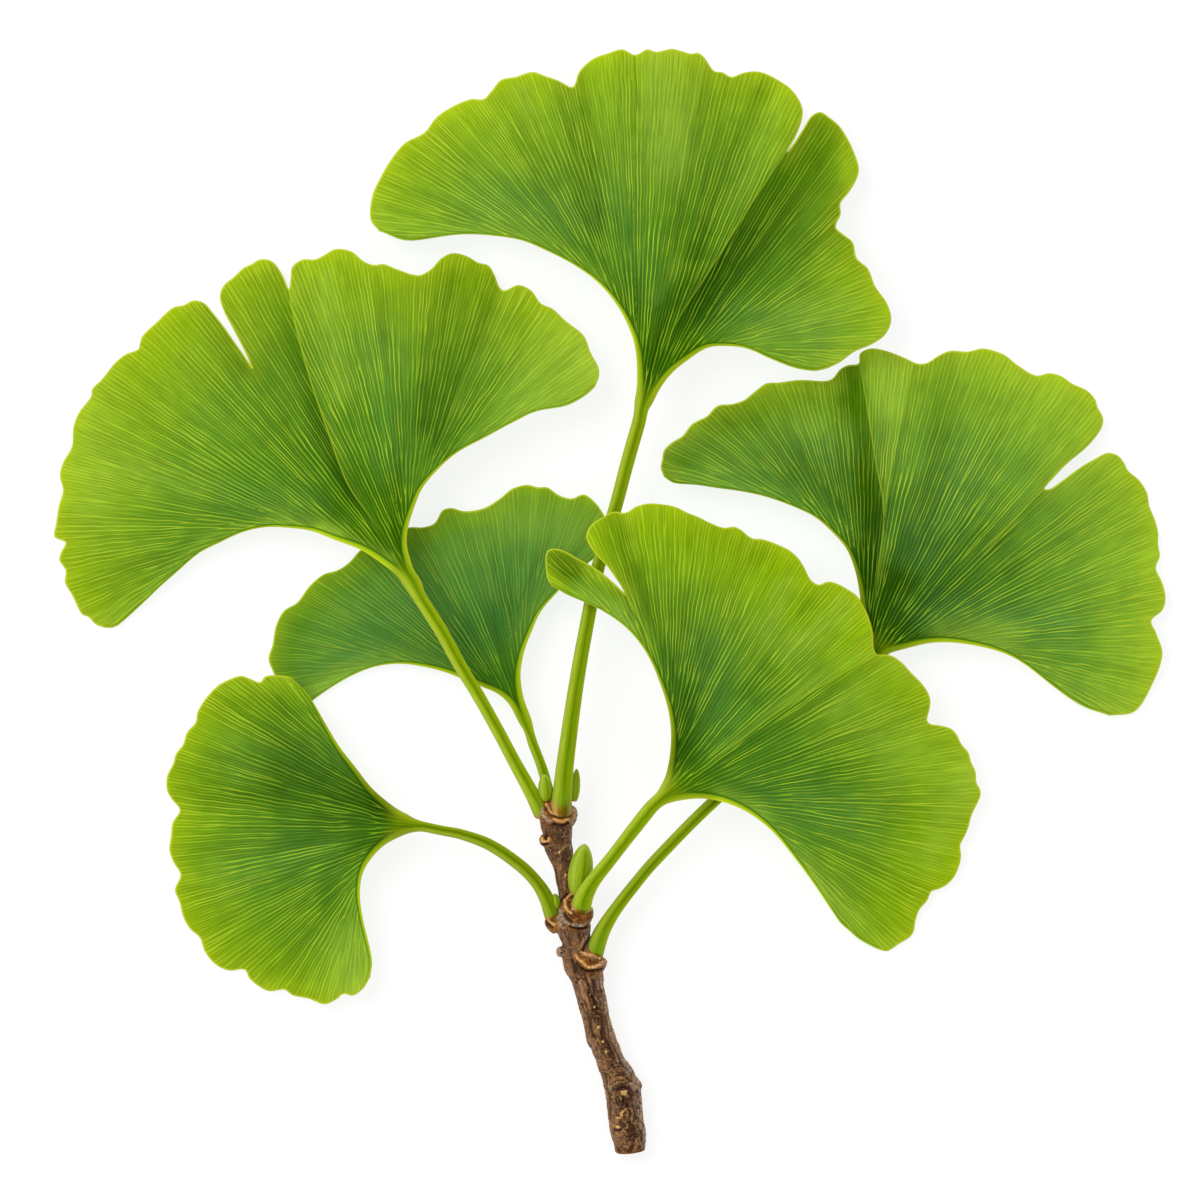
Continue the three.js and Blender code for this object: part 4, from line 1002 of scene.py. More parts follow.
def turns_of(sides):
    """The angles of the points of a round ring."""
    return (np.arange(sides) + 0.5) / sides * math.tau


def stalk_rings(leaf):
    points = np.array([row[:3] for row in leaf["stalk"]] + [leaf["apex"]], float)
    radii = [row[3] for row in leaf["stalk"]]
    radii.append(radii[-1])
    reach = lengths_along(points)
    at = np.linspace(0, reach[-1], max(int(reach[-1] / STALK_STEP), FEWEST_RINGS))
    centre = line_through(points, reach, at)
    radius = through(np.stack([reach, radii], axis=1), at)
    ahead, left, up = directions(centre)
    turn = turns_of(STALK_SIDES)
    over, beside = np.sin(turn), np.cos(turn)
    groove = GROOVE_DEPTH * np.exp(-(beside / GROOVE_WIDTH) ** 2) * (over > 0)
    flat = 1 - APEX_FLATTENING * smooth_step(reach[-3], reach[-1], at)
    rings = []

    def add(centre, radius, left, up, flat, distance):
        grooved = over - groove * smooth_step(0, GROOVE_START, distance)
        ring = centre + radius * (np.outer(beside, left) + np.outer(grooved * flat, up))
        rings.append(rows_of(ring.T, {
            "run": FAN_START, "along": distance / reach[-1], "margin": FAR_AWAY,
            "side": radius * (1 - np.abs(beside)), "across": -beside, "stalk": 1.0,
            "under": (over < 0).astype(float), "foot": distance / leaf["blush"],
            "crease": FAR_AWAY, "radius": 0.0}, STALK_SIDES))

    for share in HEEL:
        back = centre[0] - ahead[0] * share * (HEEL_LENGTH + radius[0] / 2)
        add(back, radius[0] * math.sqrt(1 - share ** 2), left[0], up[0], 1.0, 0.0)
    for row in zip(centre, radius, left, up, flat, at):
        add(*row)
    return rings


for name, leaf in LEAVES.items():
    print(name, "has a stalk of", len(stalk_rings(leaf)), "rings")

# %% [markdown]
# ## From stalk to blade
#
# Where the stalk meets the blade, its round section has to become the flat lens of the blade's
# foot. Straight lines between the two would show as a kink. So a short stack of rings is blended
# with a cubic, point by point, that leaves the stalk in the stalk's direction and arrives in the
# blade's direction.

# %% Rings between stalk and blade
BLEND_RINGS = 7


def blend_rings(near, near_step, far, far_step):
    """Rings between two rings of the same count, along cubics with the given end steps."""
    rings = []
    for t in np.linspace(0, 1, BLEND_RINGS + 2)[1:-1]:
        ring = near + (far - near) * t
        rise = far[:, :3] - near[:, :3]
        bend_a = near_step - rise
        bend_b = rise - far_step
        ring[:, :3] += t * (1 - t) * ((1 - t) * bend_a + t * bend_b)
        for field in ("vein", "run", "crease", "along"):
            ring[:, 3 + FIELDS.index(field)] = far[:, 3 + FIELDS.index(field)]
        rings.append(ring)
    return rings


def leaf_rings(name):
    leaf, fan = LEAVES[name], fans[name]
    stalk = stalk_rings(leaf)
    blade = blade_rings(fan, leaf)
    gap = np.linalg.norm(blade[0][:, :2].mean(0) - stalk[-1][:, :2].mean(0))
    forward = stalk[-1][:, :3].mean(0) - stalk[-2][:, :3].mean(0)
    near_step = forward / np.linalg.norm(forward) * gap
    far_step = blade[1][:, :3] - blade[0][:, :3]
    far_step *= gap / np.linalg.norm(far_step, axis=1).mean()
    return stalk + blend_rings(stalk[-1], near_step, blade[0], far_step) + blade


print("rings between stalk and blade:", BLEND_RINGS)

# %% [markdown]
# ## Six leaves, each with a flat map
#
# All that a leaf needs is ready now, so the six are made. Each also gets a flat map, which gives
# every face its place on a picture, so that its colours can be saved as one. A map could be cut
# along seams and unfolded, but a leaf is almost flat, and its map is simply the leaf as seen from
# above. Top and underside would then share one place, so the underside goes to the right half.

# %% Make the six leaves
MAP_SIZE = (0.48, 0.98)  # share of the picture for one side of a leaf
MAP_BORDER = 0.01


def numbers_of(items, what, width=1, kind=float):
    """One property of all the points, corners or faces of a mesh."""
    values = np.empty(len(items) * width, kind)
    items.foreach_get(what, values)
    return values if width == 1 else values.reshape(-1, width)


def lay_out(mesh):
    """A flat map as seen from above: upper faces on its left half, lower ones on its right."""
    points = numbers_of(mesh.vertices, "co", 3)[:, :2]
    corners = numbers_of(mesh.loops, "vertex_index", kind=int)
    facing = numbers_of(mesh.polygon_normals, "vector", 3)
    counts = numbers_of(mesh.polygons, "loop_total", kind=int)
    below = np.repeat(facing[:, 2] < 0, counts)
    spots = (points[corners] - points.min(0)) / np.ptp(points, axis=0) * MAP_SIZE + MAP_BORDER
    spots[:, 0] += 0.5 * below
    mesh.uv_layers.new(name="OFBake").uv.foreach_set("vector", spots.astype(np.float32).ravel())


leaves = {}
for name in LEAVES:
    leaves[name] = add_skin("green_" + name, leaf_rings(name), FIELDS)
    lay_out(leaves[name].data)
    print(name, "has", len(leaves[name].data.polygons), "faces")

# %% [markdown]
# ## Colours as formulas
#
# All colour comes from formulas, built of shader nodes. Some hundreds of node links are hard to
# read, so a small helper turns them into lines that look like ordinary sums. Colours are given
# the way a paint program shows them, from 0 to 255.

# %% Colours in paint numbers
def paint(red, green, blue):
    """A colour as Blender wants it, from the 0 to 255 numbers of a paint program."""
    linear = [((c / 255 + 0.055) / 1.055) ** 2.4 if c > 10 else c / 255 / 12.92
              for c in (red, green, blue)]
    return (*linear, 1.0)


print("grey 128 of 255 reflects", round(paint(128, 128, 128)[0], 3), "of the light")

# %% Formulas of shader nodes
class Formula:
    """Writes shader nodes. Each method returns the socket that holds its result."""

    def __init__(self, tree):
        self.tree = tree

    def node(self, kind, inputs, **settings):
        node = self.tree.nodes.new("ShaderNode" + kind)
        for setting, value in settings.items():
            setattr(node, setting, value)
        for socket, value in inputs.items():
            self.feed(node.inputs[socket], value)
        return node

    def feed(self, socket, value):
        if isinstance(value, bpy.types.NodeSocket):
            self.tree.links.new(value, socket)
        else:
            socket.default_value = value

    def maths(self, operation, *values):
        return self.node("Math", dict(enumerate(values)), operation=operation).outputs[0]

    def minus(self, first, second):
        return self.maths("SUBTRACT", first, second)

    def product(self, first, *others):
        for other in others:
            first = self.maths("MULTIPLY", first, other)
        return first

    def total(self, first, *others):
        for other in others:
            first = self.maths("ADD", first, other)
        return first

    def span(self, value, low, high, start=0.0, end=1.0):
        """Follows value smoothly from start, at low, to end, at high, and stays there."""
        inputs = {"Value": value, "From Min": low, "From Max": high, "To Min": start, "To Max": end}
        return self.node("MapRange", inputs, interpolation_type="SMOOTHSTEP").outputs["Result"]

    def point(self, x, y, z=0.0):
        return self.node("CombineXYZ", {"X": x, "Y": y, "Z": z}).outputs[0]

    def place(self, size):
        """The point being painted, in units of size millimetres."""
        where = self.node("TexCoord", {}).outputs["Object"]
        scale = 1 / (size * MM)
        inputs = {"Vector": where, "Scale": scale}
        return self.node("VectorMath", inputs, operation="SCALE").outputs[0]

    def cloud(self, where, detail=1.0, flat=False, uneven=0.0):
        """Soft random patches about one unit across, from 0 to 1."""
        inputs = {"Vector": where, "Scale": 1.0, "Detail": detail, "Distortion": uneven}
        kind = "2D" if flat else "3D"
        return self.node("TexNoise", inputs, noise_dimensions=kind).outputs["Fac"]

    def dice(self, x, y):
        """A random number from 0 to 1 for each pair of whole numbers."""
        where = self.point(x, y)
        return self.node("TexWhiteNoise", {"Vector": where}, noise_dimensions="2D").outputs["Value"]

    def field(self, name):
        """A number that was stored with the points of the mesh."""
        return self.node("Attribute", {}, attribute_name=name).outputs["Fac"]

    def blend(self, factor, a, b, mode="MIX"):
        node = self.node("Mix", {}, data_type="RGBA", blend_type=mode)
        for socket, value in zip((0, 6, 7), (factor, a, b)):
            self.feed(node.inputs[socket], value)
        return node.outputs[2]

    def colours(self, value, stops):
        """A strip of colours, given as [place from 0 to 1, colour] pairs."""
        node = self.node("ValToRGB", {"Fac": value})
        strip = node.color_ramp
        strip.interpolation = "EASE"
        while len(strip.elements) < len(stops):
            strip.elements.new(0.5)
        for element, (position, colour) in zip(strip.elements, stops):
            element.position = position
            element.color = paint(*colour)
        return node.outputs["Color"]

    def brighten(self, colour, factor):
        inputs = {"Color": colour, "Value": factor, "Fac": 1.0}
        return self.node("HueSaturation", inputs).outputs["Color"]

    def bump(self, height, strength, depth):
        """Shading for a fine relief that is depth millimetres deep."""
        inputs = {"Height": height, "Strength": strength, "Distance": depth * MM}
        return self.node("Bump", inputs).outputs["Normal"]


print("a formula knows:", ", ".join(name for name in vars(Formula) if name[0] != "_"))

# %% Effects that several materials share
def new_effect(name, takes, gives):
    """A node group of numbers in, numbers out."""
    tree = bpy.data.node_groups.new(name, "ShaderNodeTree")
    for socket in takes:
        tree.interface.new_socket(name=socket, in_out="INPUT", socket_type="NodeSocketFloat")
    for socket in gives:
        tree.interface.new_socket(name=socket, in_out="OUTPUT", socket_type="NodeSocketFloat")
    entry = tree.nodes.new("NodeGroupInput").outputs
    result = tree.nodes.new("NodeGroupOutput").inputs
    return Formula(tree), entry, result


def use_effect(formula, effect, **inputs):
    node = formula.node("Group", {}, node_tree=effect)
    for socket, value in inputs.items():
        formula.feed(node.inputs[socket], value)
    return node.outputs


print("effects so far:", len(bpy.data.node_groups))

# %% [markdown]
# ## Forking veins
#
# Ginkgo veins have no midrib and no net. They start side by side and fork in two, again and
# again, so that they stay less than a millimetre apart all the way out. That is a doubling, so it
# can be calculated: at each doubling of the distance run there are twice as many lanes. Each lane
# holds one vein, which splits somewhere in the lane and has reached the middles of two new lanes
# when the next doubling comes. Where it splits is thrown by dice, lane by lane. A drawn texture
# could not stay sharp at every distance, and real branches as geometry would weigh hundreds of
# thousands of faces.

# %% Effect: forking veins
VEIN_WIDTH = 0.09  # half the width of a vein, mm, with its soft edge
VEIN_CORE = 0.035  # half the width of its full colour
VEIN_WANDER = 0.2  # mm
VEIN_WANDER_LENGTH = 3.6
LATEST_SPLIT = 0.55  # share of its lane after which every vein has begun to split
SPLIT_LENGTH = 0.45


def doublings_of(formula, run):
    """How often the run has doubled since the first fork: whole times, and the rest."""
    doublings = formula.maths("LOGARITHM", formula.product(run, 1 / FIRST_FORK), 2.0)
    level = formula.maths("FLOOR", doublings)
    return level, formula.minus(doublings, level)


formula, entry, result = new_effect("Forking veins", ("Vein", "Run"), ("Line", "Strength"))
level, progress = doublings_of(formula, entry["Run"])
lanes = formula.maths("POWER", 2.0, level)
lane_width = formula.product(entry["Run"], VEIN_SPACING / FIRST_FORK)
lane_width = formula.maths("DIVIDE", lane_width, lanes)
wander = formula.cloud(formula.place(VEIN_WANDER_LENGTH), detail=2.0)
wander = formula.product(formula.minus(wander, 0.5), 2 * VEIN_WANDER)
wander = formula.maths("DIVIDE", wander, lane_width)
across = formula.total(formula.product(entry["Vein"], lanes), wander)
lane = formula.maths("FLOOR", across)
off = formula.maths("ABSOLUTE", formula.minus(formula.maths("FRACT", across), 0.5))
split_start = formula.product(formula.dice(lane, level), LATEST_SPLIT)
split = formula.span(progress, split_start, formula.total(split_start, SPLIT_LENGTH))
beside = formula.maths("ABSOLUTE", formula.minus(off, formula.product(split, 0.25)))
beside = formula.product(beside, lane_width)
formula.feed(result["Line"], formula.span(beside, VEIN_CORE, VEIN_WIDTH, 1.0, 0.0))
own_lane = formula.maths("FLOOR", formula.product(across, 2.0))
own_strength = formula.dice(own_lane, formula.total(level, 1.0))
old_strength = formula.dice(lane, level)
change = formula.product(formula.minus(own_strength, old_strength), split)
formula.feed(result["Strength"], formula.total(old_strength, change))
forking_veins = formula.tree
print("veins at the first fork:", VEIN_SPACING, "mm apart")

# %% [markdown]
# ## Fine streaks
#
# Between the veins the blade is not one flat green. Short strokes of lighter and darker green
# follow the veins, about a third of a millimetre wide. They are a random pattern that has been
# stretched outwards. Stretching over the whole fan would make it thin at the base and coarse at
# the margin, so two patterns, one twice as fine as the other, are blended over each doubling.

# %% Effect: streaks along the veins
STREAKS_PER_LANE = 2.6
STREAK_LENGTH = 3.6
WOBBLE, WOBBLE_LENGTH = 0.5, 3.0  # in streaks, and in mm
STAGE_SHIFT = 31.7  # moves each stage to another part of the pattern
BANDS_PER_VEIN, BAND_LENGTH = 1.1, 20.0

formula, entry, result = new_effect("Streaks", ("Vein", "Run"), ("Fine", "Broad"))
level, progress = doublings_of(formula, entry["Run"])
outwards = formula.product(entry["Run"], 1 / STREAK_LENGTH)
wobble = formula.product(formula.cloud(formula.place(WOBBLE_LENGTH)), WOBBLE)


def streaks_at(step):
    stage = formula.total(level, step)
    fine = formula.product(formula.maths("POWER", 2.0, stage), STREAKS_PER_LANE)
    shift = formula.product(stage, STAGE_SHIFT)
    across = formula.total(formula.product(entry["Vein"], fine), wobble, shift)
    return formula.cloud(formula.point(across, outwards), detail=2.0, flat=True)


near, next_one = streaks_at(0.0), streaks_at(1.0)
change = formula.product(formula.minus(next_one, near), progress)
formula.feed(result["Fine"], formula.total(near, change))
slow = formula.product(entry["Run"], 1 / BAND_LENGTH)
bands = formula.point(formula.product(entry["Vein"], BANDS_PER_VEIN), slow)
formula.feed(result["Broad"], formula.cloud(bands, detail=2.0, flat=True))
streaks = formula.tree
print("streaks per vein lane:", STREAKS_PER_LANE)

# %% [markdown]
# ## Leaf green
#
# A blade is dark green where the veins crowd together and turns yellow-green towards the margin.
# Each of the six leaves has its own tone: the one on the right is darkest, the one at the back is
# bluish and dull in the shade. So each gets its own strip of colours over the same formula. Where
# the blade is creased or one lobe lies on the next, a thin painted highlight line has painted
# shade beside it, and soft listed lines of painted light and shade stand for the light on folds.

# %% Greens of the six leaves
# share of the way from apex to margin, and each leaf's green there
GREENS_AT = (0.0, 0.14, 0.3, 0.5, 0.7, 0.85, 0.95, 1.0)
GREENS = {
    "leaf_top": ((39, 82, 0), (41, 86, 0), (49, 96, 0), (72, 122, 20), (94, 139, 31),
                 (116, 158, 28), (131, 169, 20), (149, 183, 5)),
    "leaf_left": ((45, 86, 0), (51, 94, 0), (54, 103, 4), (72, 124, 23), (93, 140, 30),
                  (118, 157, 24), (131, 168, 12), (149, 182, 3)),
    "leaf_right": ((25, 66, 0), (25, 68, 0), (34, 82, 0), (70, 119, 30), (97, 145, 41),
                   (124, 168, 41), (140, 180, 38), (154, 189, 28)),
    "leaf_front": ((49, 98, 0), (58, 109, 3), (61, 113, 12), (71, 122, 24), (95, 141, 24),
                   (119, 162, 9), (131, 170, 0), (145, 180, 0)),
    "leaf_small": ((46, 92, 4), (60, 114, 16), (70, 120, 20), (74, 124, 20), (90, 138, 21),
                   (111, 154, 15), (122, 161, 7), (136, 170, 0)),
    "leaf_back": ((59, 104, 0), (62, 108, 4), (50, 102, 20), (53, 107, 38), (74, 127, 49),
                  (86, 136, 46), (93, 142, 32), (113, 157, 14)),
}
VEIN_INNER, VEIN_OUTER = (140, 180, 28), (190, 214, 56)
# painted shade near the apex and at the margin, and painted light
SHADE_INNER, SHADE_OUTER, LIT_GREEN = (28, 68, 0), (68, 112, 0), (156, 194, 64)
# a crease's painted highlight line, and its painted shadow line
CREASE_HIGHLIGHT, CREASE_SHADOW = (166, 196, 40), (58, 96, 4)
BLUISH = (74, 130, 68)
CREASE_LINE_SHIFT = 0.1  # mm that a crease's bright line lies on the side with less shade


print("greens from apex to margin:", len(GREENS_AT))

# %% Green of a blade
def either_way(f, colour, amount, dark, light):
    """Blends to a dark colour below zero and to a light one above."""
    colour = f.blend(f.maths("MAXIMUM", f.product(amount, -1.0), 0.0), colour, dark)
    return f.blend(f.maths("MAXIMUM", amount, 0.0), colour, light)


def toned(f, colour, amount):
    """Blends to a painted shade green below zero and to a painted light green above."""
    shade = f.blend(f.span(f.field("along"), 0.4, 1.0), paint(*SHADE_INNER), paint(*SHADE_OUTER))
    return either_way(f, colour, amount, shade, paint(*LIT_GREEN))


def blade_green(f, greens, clarity):
    """Colour of the blade, and the height of its fine relief."""
    vein, run, along = f.field("vein"), f.field("run"), f.field("along")
    veins = use_effect(f, forking_veins, Vein=vein, Run=run)
    fine = use_effect(f, streaks, Vein=vein, Run=run)
    green = f.colours(along, list(zip(GREENS_AT, greens)))
    green = f.blend(f.product(f.field("cool"), 0.5), green, paint(*BLUISH))
    # painted light and shade from the leaf's listed lines
    green = toned(f, green, f.field("wash"))
    # painted shade beside each crease, on its left and on its right
    off = f.field("crease")
    on_left = f.span(off, -0.07, 0.07)
    on_right = f.minus(1.0, on_left)
    beside = f.total(f.product(f.field("shade_left"), on_left),
                     f.product(f.field("shade_right"), on_right))
    green = toned(f, green, beside)
    shaded = f.span(f.total(f.field("wash"), beside), -0.9, 0.0, 0.5, 1.0)
    strokes = f.span(fine["Fine"], 0.4, 0.6, 1 - 0.12 * clarity, 1 + 0.12 * clarity)
    bands = f.span(fine["Broad"], 0.3, 0.7, 0.93, 1.07)
    green = f.brighten(green, f.product(strokes, bands))
    broken = f.span(f.cloud(f.place(2.6), detail=1.0), 0.3, 0.62, 0.5, 1.0)
    clear = f.product(f.span(along, 0.3, 1.0, 0.95 * clarity, 0.72 * clarity), broken, shaded)
    clear = f.product(clear, f.span(veins["Strength"], 0.2, 0.85, 0.25, 1.05))
    vein_green = f.blend(along, paint(*VEIN_INNER), paint(*VEIN_OUTER))
    green = f.blend(f.product(veins["Line"], clear), green, vein_green)
    # each crease's fine line: a painted highlight, or a painted shadow where its brightness is
    # below zero
    lit_side = f.maths("SIGN", f.minus(f.field("shade_left"), f.field("shade_right")))
    from_line = f.maths("ABSOLUTE", f.minus(off, f.product(lit_side, CREASE_LINE_SHIFT)))
    line = f.product(f.span(from_line, 0.03, 0.15, 1.0, 0.0), f.field("line"))
    green = either_way(f, green, line, paint(*CREASE_SHADOW), paint(*CREASE_HIGHLIGHT))
    relief = f.total(f.product(veins["Line"], clear), f.product(fine["Fine"], 0.8))
    return green, relief


print("veins are blended from", VEIN_INNER, "to", VEIN_OUTER)

# %% [markdown]
# ## Rims, margin and stalk
#
# The margin is a fine yellow line, and the basal edges are thick yellow-green rims that run on
# from the stalk. The stalk has a pale stripe on the left, a dark groove and a light right flank,
# and its foot is tan. All of these could be materials of their own, with hard borders. As layers
# of one material they fade into the blade, as they do on a leaf.

# %% Green of edges and stalk
MARGIN_YELLOW = (198, 210, 44)
# from the basal edge inwards
RIM_TONES = ((0.0, (196, 206, 52)), (0.16, (182, 198, 32)), (0.32, (158, 180, 10)),
             (0.5, (146, 174, 22)), (0.62, (112, 150, 10)), (0.78, (54, 94, 2)),
             (1.0, (54, 94, 2)))
# from the left flank to the right one
STALK_STRIPES = ((0.0, (168, 188, 60)), (0.14, (166, 186, 50)), (0.3, (162, 182, 42)),
                 (0.42, (142, 166, 10)), (0.56, (100, 132, 0)), (0.66, (112, 144, 2)),
                 (0.8, (138, 164, 8)), (0.92, (160, 180, 20)), (1.0, (190, 200, 74)))
FOOT_GREEN = (120, 158, 34)
FOOT_TONES = ((0.0, (196, 124, 66)), (0.25, (196, 146, 84)), (0.45, (134, 88, 8)),
              (0.72, (96, 74, 2)), (1.0, (176, 142, 90)))


def with_edges(f, green):
    """The blade with its rims along the basal edges and the yellow line of its margin."""
    along, margin = f.field("along"), f.field("margin")
    rim_width = f.span(f.field("radius"), 3.0, 24.0, 0.66, 0.22)
    rim = f.maths("DIVIDE", f.field("side"), rim_width)
    tones = f.colours(f.product(rim, 0.6), RIM_TONES)
    # the rims get the same painted light and shade
    tones = f.brighten(tones, f.span(f.field("wash"), -1.0, 1.0, 0.5, 1.5))
    shown = f.product(f.span(rim, 1.25, 2.0, 0.92, 0.0), f.span(along, 0.5, 1.0, 1.0, 0.5))
    green = f.blend(shown, green, tones)
    glow = f.span(margin, 0.2, 3.0, 0.12, 0.0)
    green = f.blend(glow, green, paint(*MARGIN_YELLOW))
    return f.blend(f.span(margin, 0.1, 0.3, 0.8, 0.0), green, paint(*MARGIN_YELLOW))


def with_stalk(f, green, tone):
    along, across, stalk = f.field("along"), f.field("across"), f.field("stalk")
    stripes = f.colours(f.maths("MULTIPLY_ADD", across, 0.5, 0.5), STALK_STRIPES)
    fibres = f.cloud(f.point(f.product(across, 9.0), f.product(along, 14.0)), 2.0, True)
    stripes = f.brighten(stripes, f.span(fibres, 0.35, 0.65, 0.9 * tone, 1.1 * tone))
    green = f.blend(stalk, green, stripes)
    foot = f.product(f.span(along, 0.0, 0.09, 1.0, 0.0), f.span(stalk, 0.9, 1.0))
    green = f.blend(f.product(foot, 0.45), green, paint(*FOOT_GREEN))
    ragged = f.cloud(f.point(f.product(across, 2.2), f.product(f.field("foot"), 0.6)), 2.0, True)
    tan = f.span(f.total(f.field("foot"), f.product(ragged, 1.1)), 0.55, 1.6, 0.9, 0.0)
    brown = f.colours(f.maths("MULTIPLY_ADD", across, 0.5, 0.5), FOOT_TONES)
    return f.blend(tan, green, brown)


print("stripes across a stalk:", len(STALK_STRIPES))

# %% Leaf materials
UNDERSIDE = (150, 182, 96)
# how clear the veins are and how light the stalk is; 1 for the leaves that aren't named
VEIN_CLARITY = {"leaf_back": 0.5}
STALK_TONES = {"leaf_top": 0.94, "leaf_small": 0.82, "leaf_left": 1.04, "leaf_right": 0.95}


def leaf_material(name, greens, clarity, tone):
    material, shader = new_material(name, roughness=0.55, shine=0.02)
    f = Formula(material.node_tree)
    green, relief = blade_green(f, greens, clarity)
    green = with_stalk(f, with_edges(f, green), tone)
    green = f.blend(f.product(f.field("under"), 0.5), green, paint(*UNDERSIDE))
    f.feed(shader["Base Color"], green)
    f.feed(shader["Normal"], f.bump(relief, strength=0.35, depth=0.05))
    return material


for name, piece in leaves.items():
    traits = VEIN_CLARITY.get(name, 1.0), STALK_TONES.get(name, 1.0)
    material = leaf_material(name.replace("leaf", "green"), GREENS[name], *traits)
    piece.data.materials.append(material)
print("leaf materials:", len(leaves))

# %% [markdown]
# ## The twig
#
# A short shoot grows only a little each year and drops its leaves, which leaves it knobbly: a
# cup under every stalk, scars, corky dots and cracked bark. A plain tube with a bark pattern
# would miss all that. So the twig is put together from its main length, a cup under each stalk
# and a few knobs, and those are fused into one skin by a fine voxel grid. Then every point of
# the skin moves in or out a little, for cracks, lips, flakes and pits. The same sums leave
# colour masks behind, so a crack is dark exactly where it is deep: its own dark colour with
# painted shade in it.

# %% The twig's measures, in millimetres
# y, left edge, right edge, height of the centre
TWIG_SECTIONS = [
    (-68.2, 0.55, 4.55, 2.1), (-67.4, 0.4, 4.6, 2.1), (-66.5, 0.15, 4.6, 2.2),
    (-65.7, -0.1, 4.4, 2.3), (-64, -0.3, 4.2, 2.3), (-62, -0.5, 4.1, 2.4), (-61, -0.7, 4.0, 2.4),
    (-60, -0.9, 3.5, 2.5), (-59, -1.15, 2.95, 2.5), (-58, -1.45, 2.2, 2.6),
    (-56, -2.2, 1.35, 2.8), (-54.4, -3, 0.7, 2.9), (-52.5, -3.35, 0.2, 3), (-50, -4.05, -0.3, 3.2),
    (-48, -4.6, -0.7, 3.3), (-46.6, -5.1, -0.7, 3.4), (-45, -5.9, -1.2, 3.5),
    (-43.7, -6.1, -2, 3.6), (-42.5, -6, -2.3, 3.7), (-41, -6.6, -2.3, 3.8),
    (-39.5, -6.5, -2.6, 3.9), (-38, -6.4, -3.4, 4), (-36.6, -6.4, -4.3, 4.1),
    (-35, -6.75, -4.4, 4.1), (-33, -7.1, -4.4, 4.2), (-31.5, -7.8, -4.45, 4.3),
    (-30.2, -8.35, -4.65, 4.3), (-29, -8.3, -4.6, 4.3), (-28, -8.7, -4.45, 4.4),
    (-27, -8.9, -4.05, 4.4), (-26, -8.75, -4.2, 4.4), (-25.4, -8.4, -4.5, 4.4),
    (-25, -7.8, -5, 4.4),
]
# foot, rim, radius: the cups out of which stalks grow
CUPS = [((-4.9, -40.3, 3.9), (-3.7, -38.1, 5.3), 2.1), ((-3, -46.3, 3.3), (-2.1, -44.1, 3.7), 2.15),
        ((-6.4, -41.2, 3.5), (-7.2, -39.4, 3.9), 1.15)]
CUP_PROFILE = [(0, 0.6), (0.16, 0.82), (0.4, 0.97), (0.7, 1), (0.92, 0.94), (1, 0.82)]
# place and radius: swellings, among them an old leaf scar at the upper left
KNOBS = [((-8.05, -29.85, 4.7), 0.8), ((-5.9, -43.8, 4.3), 0.7), ((3.2, -60.6, 2.7), 0.9),
         ((-8, -26.4, 4.6), 0.95), ((-4.9, -26.4, 4.6), 0.95)]
# how far each ring lies beyond the last section, and its share of that section's radius
CUT_END = ((0.86, 0.3), (0.84, 0.55), (0.76, 0.8), (0.55, 0.94), (0.25, 0.99))
print("twig:", len(TWIG_SECTIONS), "sections,", len(CUPS), "cups and", len(KNOBS), "knobs")

# %% Fuse the twig's parts
TWIG_GRID = 0.11  # edge of a voxel
SETTLING = 6  # rounds of smoothing that take the steps of the grid away
TWIG_ROWS, TWIG_SIDES = 220, 40
TWIG_SLIMMER = 0.97  # the bark's marks add the rest
CUP_ROWS = 24
KNOB_ROWS, KNOB_SIDES = 14, 20
KNOB_POLE = 0.08  # angle from its pole at which a knob's first ring lies
HEADING_ROW = 9  # the cut end points away from this row


def round_rings(centres, radii, sides=TWIG_SIDES):
    """Round rings square to a line of centres."""
    centres = np.asarray(centres, float)
    _, left, up = directions(centres)
    turn = turns_of(sides)
    return [c + r * (np.outer(np.cos(turn), l) + np.outer(np.sin(turn), u))
            for c, r, l, u in zip(centres, radii, left, up)]


def knob_rings(place, radius):
    turns = np.linspace(KNOB_POLE, math.pi - KNOB_POLE, KNOB_ROWS)
    centres = np.array(place) - radius * np.outer(np.cos(turns), (0, 1, 0))
    return round_rings(centres, radius * np.sin(turns), KNOB_SIDES)


def fused(name, parts, grid):
    """One skin over overlapping closed skins, on a voxel grid."""
    points, faces = [], []
    for rings in parts:
        part_points, part_faces = loft(rings)
        start = sum(map(len, points))
        points.append(part_points)
        faces += [[start + i for i in face] for face in part_faces]
    rough = bpy.data.meshes.new(name + "_rough")
    rough.from_pydata((np.concatenate(points) * MM).tolist(), [], faces)
    holder = add_object(name + "_rough", rough)
    remesh = holder.modifiers.new("fuse", "REMESH")
    remesh.mode = "VOXEL"
    remesh.voxel_size = grid * MM
    holder.modifiers.new("settle", "SMOOTH").iterations = SETTLING
    evaluated = holder.evaluated_get(bpy.context.evaluated_depsgraph_get())
    skin = bpy.data.meshes.new_from_object(evaluated)
    skin.name = name
    bpy.data.objects.remove(holder)
    bpy.data.meshes.remove(rough)
    return skin


